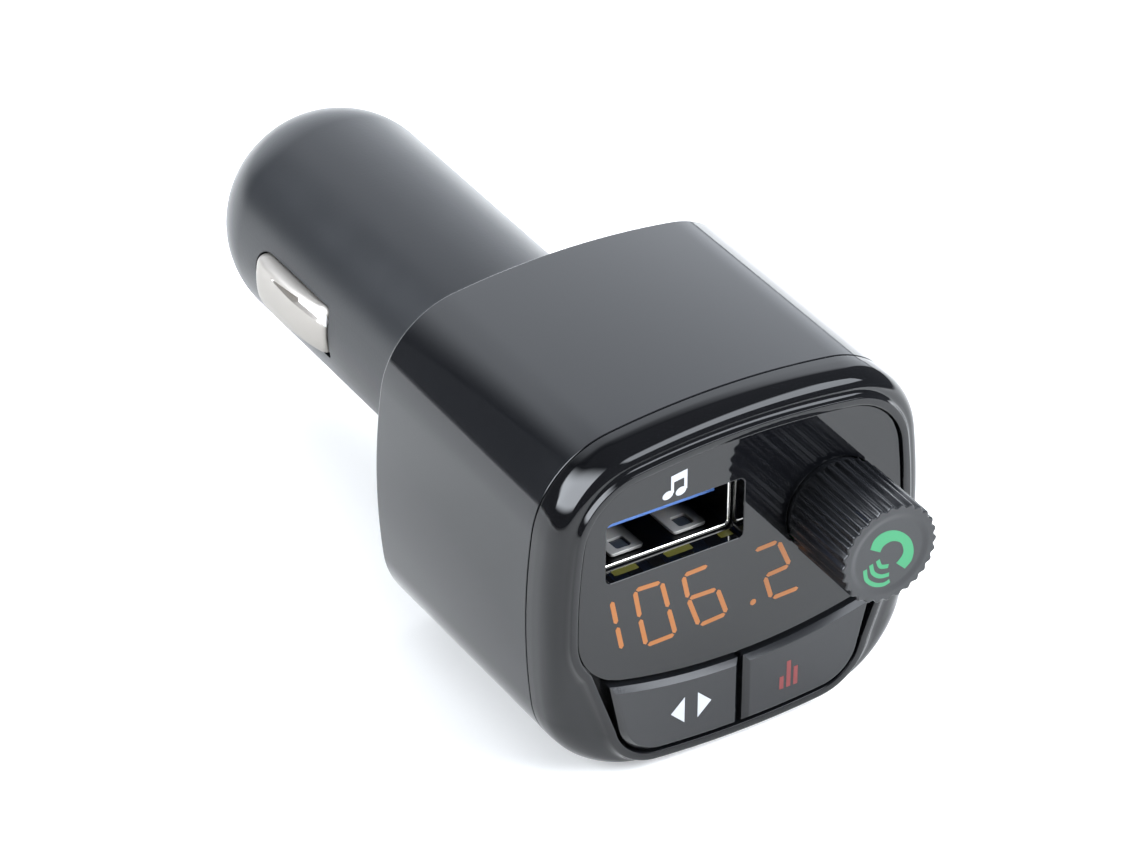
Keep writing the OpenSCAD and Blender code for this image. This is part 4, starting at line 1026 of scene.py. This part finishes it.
# The digits after the first: places where segments meet (left and right at top, middle and bottom)
# and the lit segments
DIGITS = [
    ((-10.50, 2.42), (-7.90, 2.30), (-9.93, -0.60), (-7.17, -0.62), (-9.28, -3.62), (-6.42, -3.55), "abcdef"),
    ((-5.80, 2.15), (-3.30, 2.25), (-5.25, -0.40), (-2.40, -0.45), (-4.12, -3.55), (-1.40, -3.35), "acdefg"),
    ((1.15, 2.05), (3.55, 2.15), (2.30, -0.95), (4.78, -0.75), (3.05, -3.50), (5.85, -3.40), "abdeg"),
]


def digit_segments(tl, tr, ml, mr, bl, br, lit):
    ends = {
        "a": (tl, tr),
        "b": (tr, mr),
        "c": (mr, br),
        "d": (bl, br),
        "e": (ml, bl),
        "f": (tl, ml),
        "g": (ml, mr),
    }
    return [segment(*ends[name]) for name in lit]


def build_digits():
    shapes = [segment((-12.72, 2.25), (-12.19, -0.42)), segment((-12.15, -0.55), (-11.62, -3.15))]
    for digit in DIGITS:
        shapes += digit_segments(*digit)
    shapes.append(circle((1.21, -3.18), 0.3, 20))
    print_shapes("display_digits", shapes, MARK_Z, SEGMENT_LIGHT, "housing")


def bar_between(a, b, width):
    way = Vector((b[0] - a[0], b[1] - a[1])).normalized()
    side = Vector((-way.y, way.x)) * width / 2
    return [tuple(Vector(p) + s) for p, s in ((a, -side), (b, -side), (b, side), (a, side))]


def turned_ellipse(centre, a, b, angle):
    c, s = math.cos(angle), math.sin(angle)
    points = []
    for t in full_turn(28):
        x, y = a * math.cos(t), b * math.sin(t)
        points.append((centre[0] + x * c - y * s, centre[1] + x * s + y * c))
    return points


# Knob's pictogram: back of the handset, its front from the other end, and the waves' middle lines
HANDSET_BACK = [
    (6.86, 5.19), (7.18, 6.0), (7.92, 6.42), (8.89, 6.38), (9.93, 5.84), (10.82, 4.86), (11.22, 3.66),
    (11.08, 2.6), (10.42, 1.98),
]
HANDSET_FRONT = [
    (9.53, 2.86), (10.04, 3.36), (10.2, 3.94), (9.86, 4.8), (9.0, 5.26), (8.2, 5.1), (7.85, 4.57),
]
WAVES = [
    [(6.42, 3.3), (6.62, 2.28), (7.38, 1.5), (8.3, 1.16), (8.95, 1.3)],
    [(7.0, 3.62), (7.25, 2.72), (7.98, 2.1), (8.86, 1.98)],
    [(7.66, 3.83), (7.98, 3.1), (8.75, 2.86)],
]


def wave_outline(points, half_width):
    """Outline of a stroke of even width along a smooth curve."""
    path = [Vector(p) for p in smooth_path(points, 8)]
    left, right = [], []
    for i, p in enumerate(path):
        way = (path[min(i + 1, len(path) - 1)] - path[max(i - 1, 0)]).normalized()
        side = Vector((-way.y, way.x)) * half_width
        left.append(tuple(p + side))
        right.append(tuple(p - side))
    return left + right[::-1]


def build_marks():
    """Marks of the builder's own: a note, skip arrowheads, level bars, and a handset with waves."""
    # Two notes under a beam, above the port: stems and beam in one piece, then the two heads over them
    stems = [
        (-7.16, 12.5), (-5.6, 12.74), (-5.6, 10.85), (-5.9, 10.85),
        (-5.9, 12.0), (-6.88, 11.86), (-6.88, 10.85), (-7.16, 10.85),
    ]
    heads = [turned_ellipse((x, 10.77), 0.52, 0.38, 0.3) for x in (-7.46, -6.2)]
    print_shapes("note_stems", [stems], MARK_Z, WHITE_INK, "housing")
    print_shapes("note_heads", heads, MARK_Z + 0.003, WHITE_INK, "housing")
    # Two arrowheads that point away from each other: skip back and forward
    skips = [[(x, -12.55), (x + way * 1.35, -11.25), (x, -9.95)] for way, x in ((-1, -5.75), (1, -4.45))]
    print_shapes("skip_mark", skips, KEY_MARK_Z, WHITE_INK, "left_key")
    # Three bars, the middle one the highest
    bars = [bar_between((x, -12.9), (x, -12.9 + h), 0.42) for x, h in ((3.95, 1.3), (4.65, 2.7), (5.35, 1.9))]
    print_shapes("level_mark", bars, KEY_MARK_Z, RED_INK, "right_key")
    # A handset and three waves, on the knob
    handset = smooth_path(HANDSET_BACK, 6) + smooth_path(HANDSET_FRONT, 6)
    call = [handset] + [wave_outline(w, 0.19) for w in WAVES]
    print_shapes("call_mark", call, CALL_MARK_Z, GREEN_INK, "knob")


build_sleeve()
build_bezel()
build_lens()
build_key(-1, "left_key", "left_key")
build_key(1, "right_key", "right_key")
build_knob()
build_barrel()
build_contact(-1, "left_side_contact", "left_contact")
build_contact(1, "right_side_contact", "right_contact")
build_tip_spring()
build_leaf_spring(-1, "left_contact_spring")
build_leaf_spring(1, "right_contact_spring")
build_usb()
build_tongue()
build_usb_fingers()
build_window_patches()
build_digits()
build_marks()

# Studio

LIGHT_TINT = (0.88, 0.93, 1.0)
# The sides of a softbox, each with the axis of its plane and the end of the axis where it lies
SIDES = (("Right", "X", 0), ("Left", "X", 1), ("Bottom", "Y", 0), ("Top", "Y", 1))


def turn_to(location, target):
    return (Vector(target) - Vector(location)).to_track_quat("-Z", "Y").to_euler()


def stage_plane(name, location, size, target, material, camera=True):
    """A plane of the stage that faces a point."""
    bpy.ops.mesh.primitive_plane_add(size=1)
    obj = bpy.context.object
    obj.name = name
    obj.scale = (size[0], size[1], 1)
    obj.location = location
    obj.rotation_euler = turn_to(location, target)
    obj.data.materials.append(material)
    obj.visible_camera = camera
    return obj


def soft_edge(tree):
    """Fade of a softbox towards its sides: the widths of the four fades in, Fade out."""
    inside, out = sockets(tree, {name: "Float" for name, axis, start in SIDES}, {"Fade": "Float"})
    where = tree.nodes.new("ShaderNodeTexCoord")
    axes = tree.nodes.new("ShaderNodeSeparateXYZ")
    wire(tree, (where, "Generated", axes, "Vector"))
    product = None
    for name, axis, start in SIDES:
        fade = tree.nodes.new("ShaderNodeMapRange")
        fade.interpolation_type = "SMOOTHSTEP"
        edge = tree.nodes.new("ShaderNodeMath")
        edge.operation = "SUBTRACT" if start else "ADD"
        edge.inputs[0].default_value = start
        fade.inputs["From Min"].default_value = start
        wire(
            tree,
            (inside, name, edge, 1),
            (edge, "Value", fade, "From Max"),
            (axes, axis, fade, "Value"),
        )
        if product:
            both = tree.nodes.new("ShaderNodeMath")
            both.operation = "MULTIPLY"
            tree.links.new(product, both.inputs[0])
            wire(tree, (fade, "Result", both, 1))
            product = both.outputs["Value"]
        else:
            product = fade.outputs["Result"]
    tree.links.new(product, out.inputs["Fade"])


SOFT_EDGE = group("softbox edge", soft_edge)


def softbox(name, location, size, target, strength, fades, lights=True):
    """A glowing panel that the camera doesn't see; fades: right, left, bottom and top shares.

    With lights=False it shows in reflections alone.
    """
    material = bpy.data.materials.new(name)
    material.use_nodes = True
    tree = material.node_tree
    tree.nodes.clear()
    out = tree.nodes.new("ShaderNodeOutputMaterial")
    light = tree.nodes.new("ShaderNodeEmission")
    edge = use_group(tree, SOFT_EDGE, {side[0]: width for side, width in zip(SIDES, fades)})
    power = tree.nodes.new("ShaderNodeMath")
    power.operation = "MULTIPLY"
    power.inputs[1].default_value = strength
    light.inputs["Color"].default_value = (*LIGHT_TINT, 1)
    wire(
        tree,
        (edge, "Fade", power, 0),
        (power, "Value", light, "Strength"),
        (light, "Emission", out, "Surface"),
    )
    panel = stage_plane(name, location, size, target, material, camera=False)
    panel.visible_diffuse = lights


def fill_light(name, location, size, target, energy):
    """A disk light that reflections don't show."""
    data = bpy.data.lights.new(name, "AREA")
    data.shape = "DISK"
    data.size = size
    data.energy = energy
    data.color = LIGHT_TINT
    lamp = bpy.data.objects.new(name, data)
    lamp.location = location
    lamp.rotation_euler = turn_to(location, target)
    lamp.visible_glossy = False
    bpy.context.scene.collection.objects.link(lamp)


floor_material = bpy.data.materials.new("pale floor")
floor_material.use_nodes = True
floor_shader = floor_material.node_tree.nodes["Principled BSDF"]
floor_shader.inputs["Base Color"].default_value = (0.92, 0.91, 0.885, 1)
floor_shader.inputs["Roughness"].default_value = 0.9
floor_shader.inputs["Emission Color"].default_value = (1, 1, 1, 1)
floor_shader.inputs["Emission Strength"].default_value = 0.17
stage_plane("floor", (0, 0, -0.0152), (6, 6), (0, 0, -1), floor_material)

softbox("back softbox", (0.29, 0.7, 0.5), (1.52, 1.03), (0.29, 0, 0.5), 2.2, (0.05, 0.26, 0.05, 0.35))
softbox("left softbox", (-0.492, 0.083, 0.42), (1.01, 0.7), (-0.072, 0.213, 0), 14, (0.06, 0.03, 0.2, 0.42),
        lights=False)
softbox("front softbox", (0.26, -0.33, 0.41), (0.5, 0.3), (0, -0.02, 0), 8.5, (0.15, 0.02, 0.1, 0.2),
        lights=False)
fill_light("overhead", (0.1, -0.1, 1.1), 1.6, (0.1, -0.1, 0), 10.6)
fill_light("front fill", (0.3, -0.32, 0.22), 0.4, (0.02, -0.06, 0), 6)
fill_light("left fill", (-0.5, 0.2, 0.3), 0.4, (-0.1, 0.05, 0), 3.8)
fill_light("back fill", (0.4, 0.42, 0.25), 0.35, (0.28, 0.28, 0), 3.2)

world = bpy.data.worlds.new("studio")
bpy.context.scene.world = world
world.use_nodes = True
surround = world.node_tree.nodes["Background"]
surround.inputs["Color"].default_value = (0.24, 0.25, 0.27, 1)
surround.inputs["Strength"].default_value = 0.55

bpy.context.scene.view_settings.view_transform = "Standard"

camera_data = bpy.data.cameras.new("camera")
camera_data.lens = 165.05
camera_data.sensor_width = 36
camera_data.clip_end = 20
camera = bpy.data.objects.new("camera", camera_data)
# The camera's own axes, in the row frame
right = Vector((0.85085795, -0.52536038, 0.00610115))
up = Vector((0.29186846, 0.48229349, 0.8259575))
back = Vector((-0.43686789, -0.70099177, 0.56369937))
turn = Matrix((right, up, back)).transposed()
camera.matrix_world = Matrix.Translation((-0.196905, -0.317384, 0.254596)) @ turn.to_4x4()
bpy.context.scene.collection.objects.link(camera)
bpy.context.scene.camera = camera
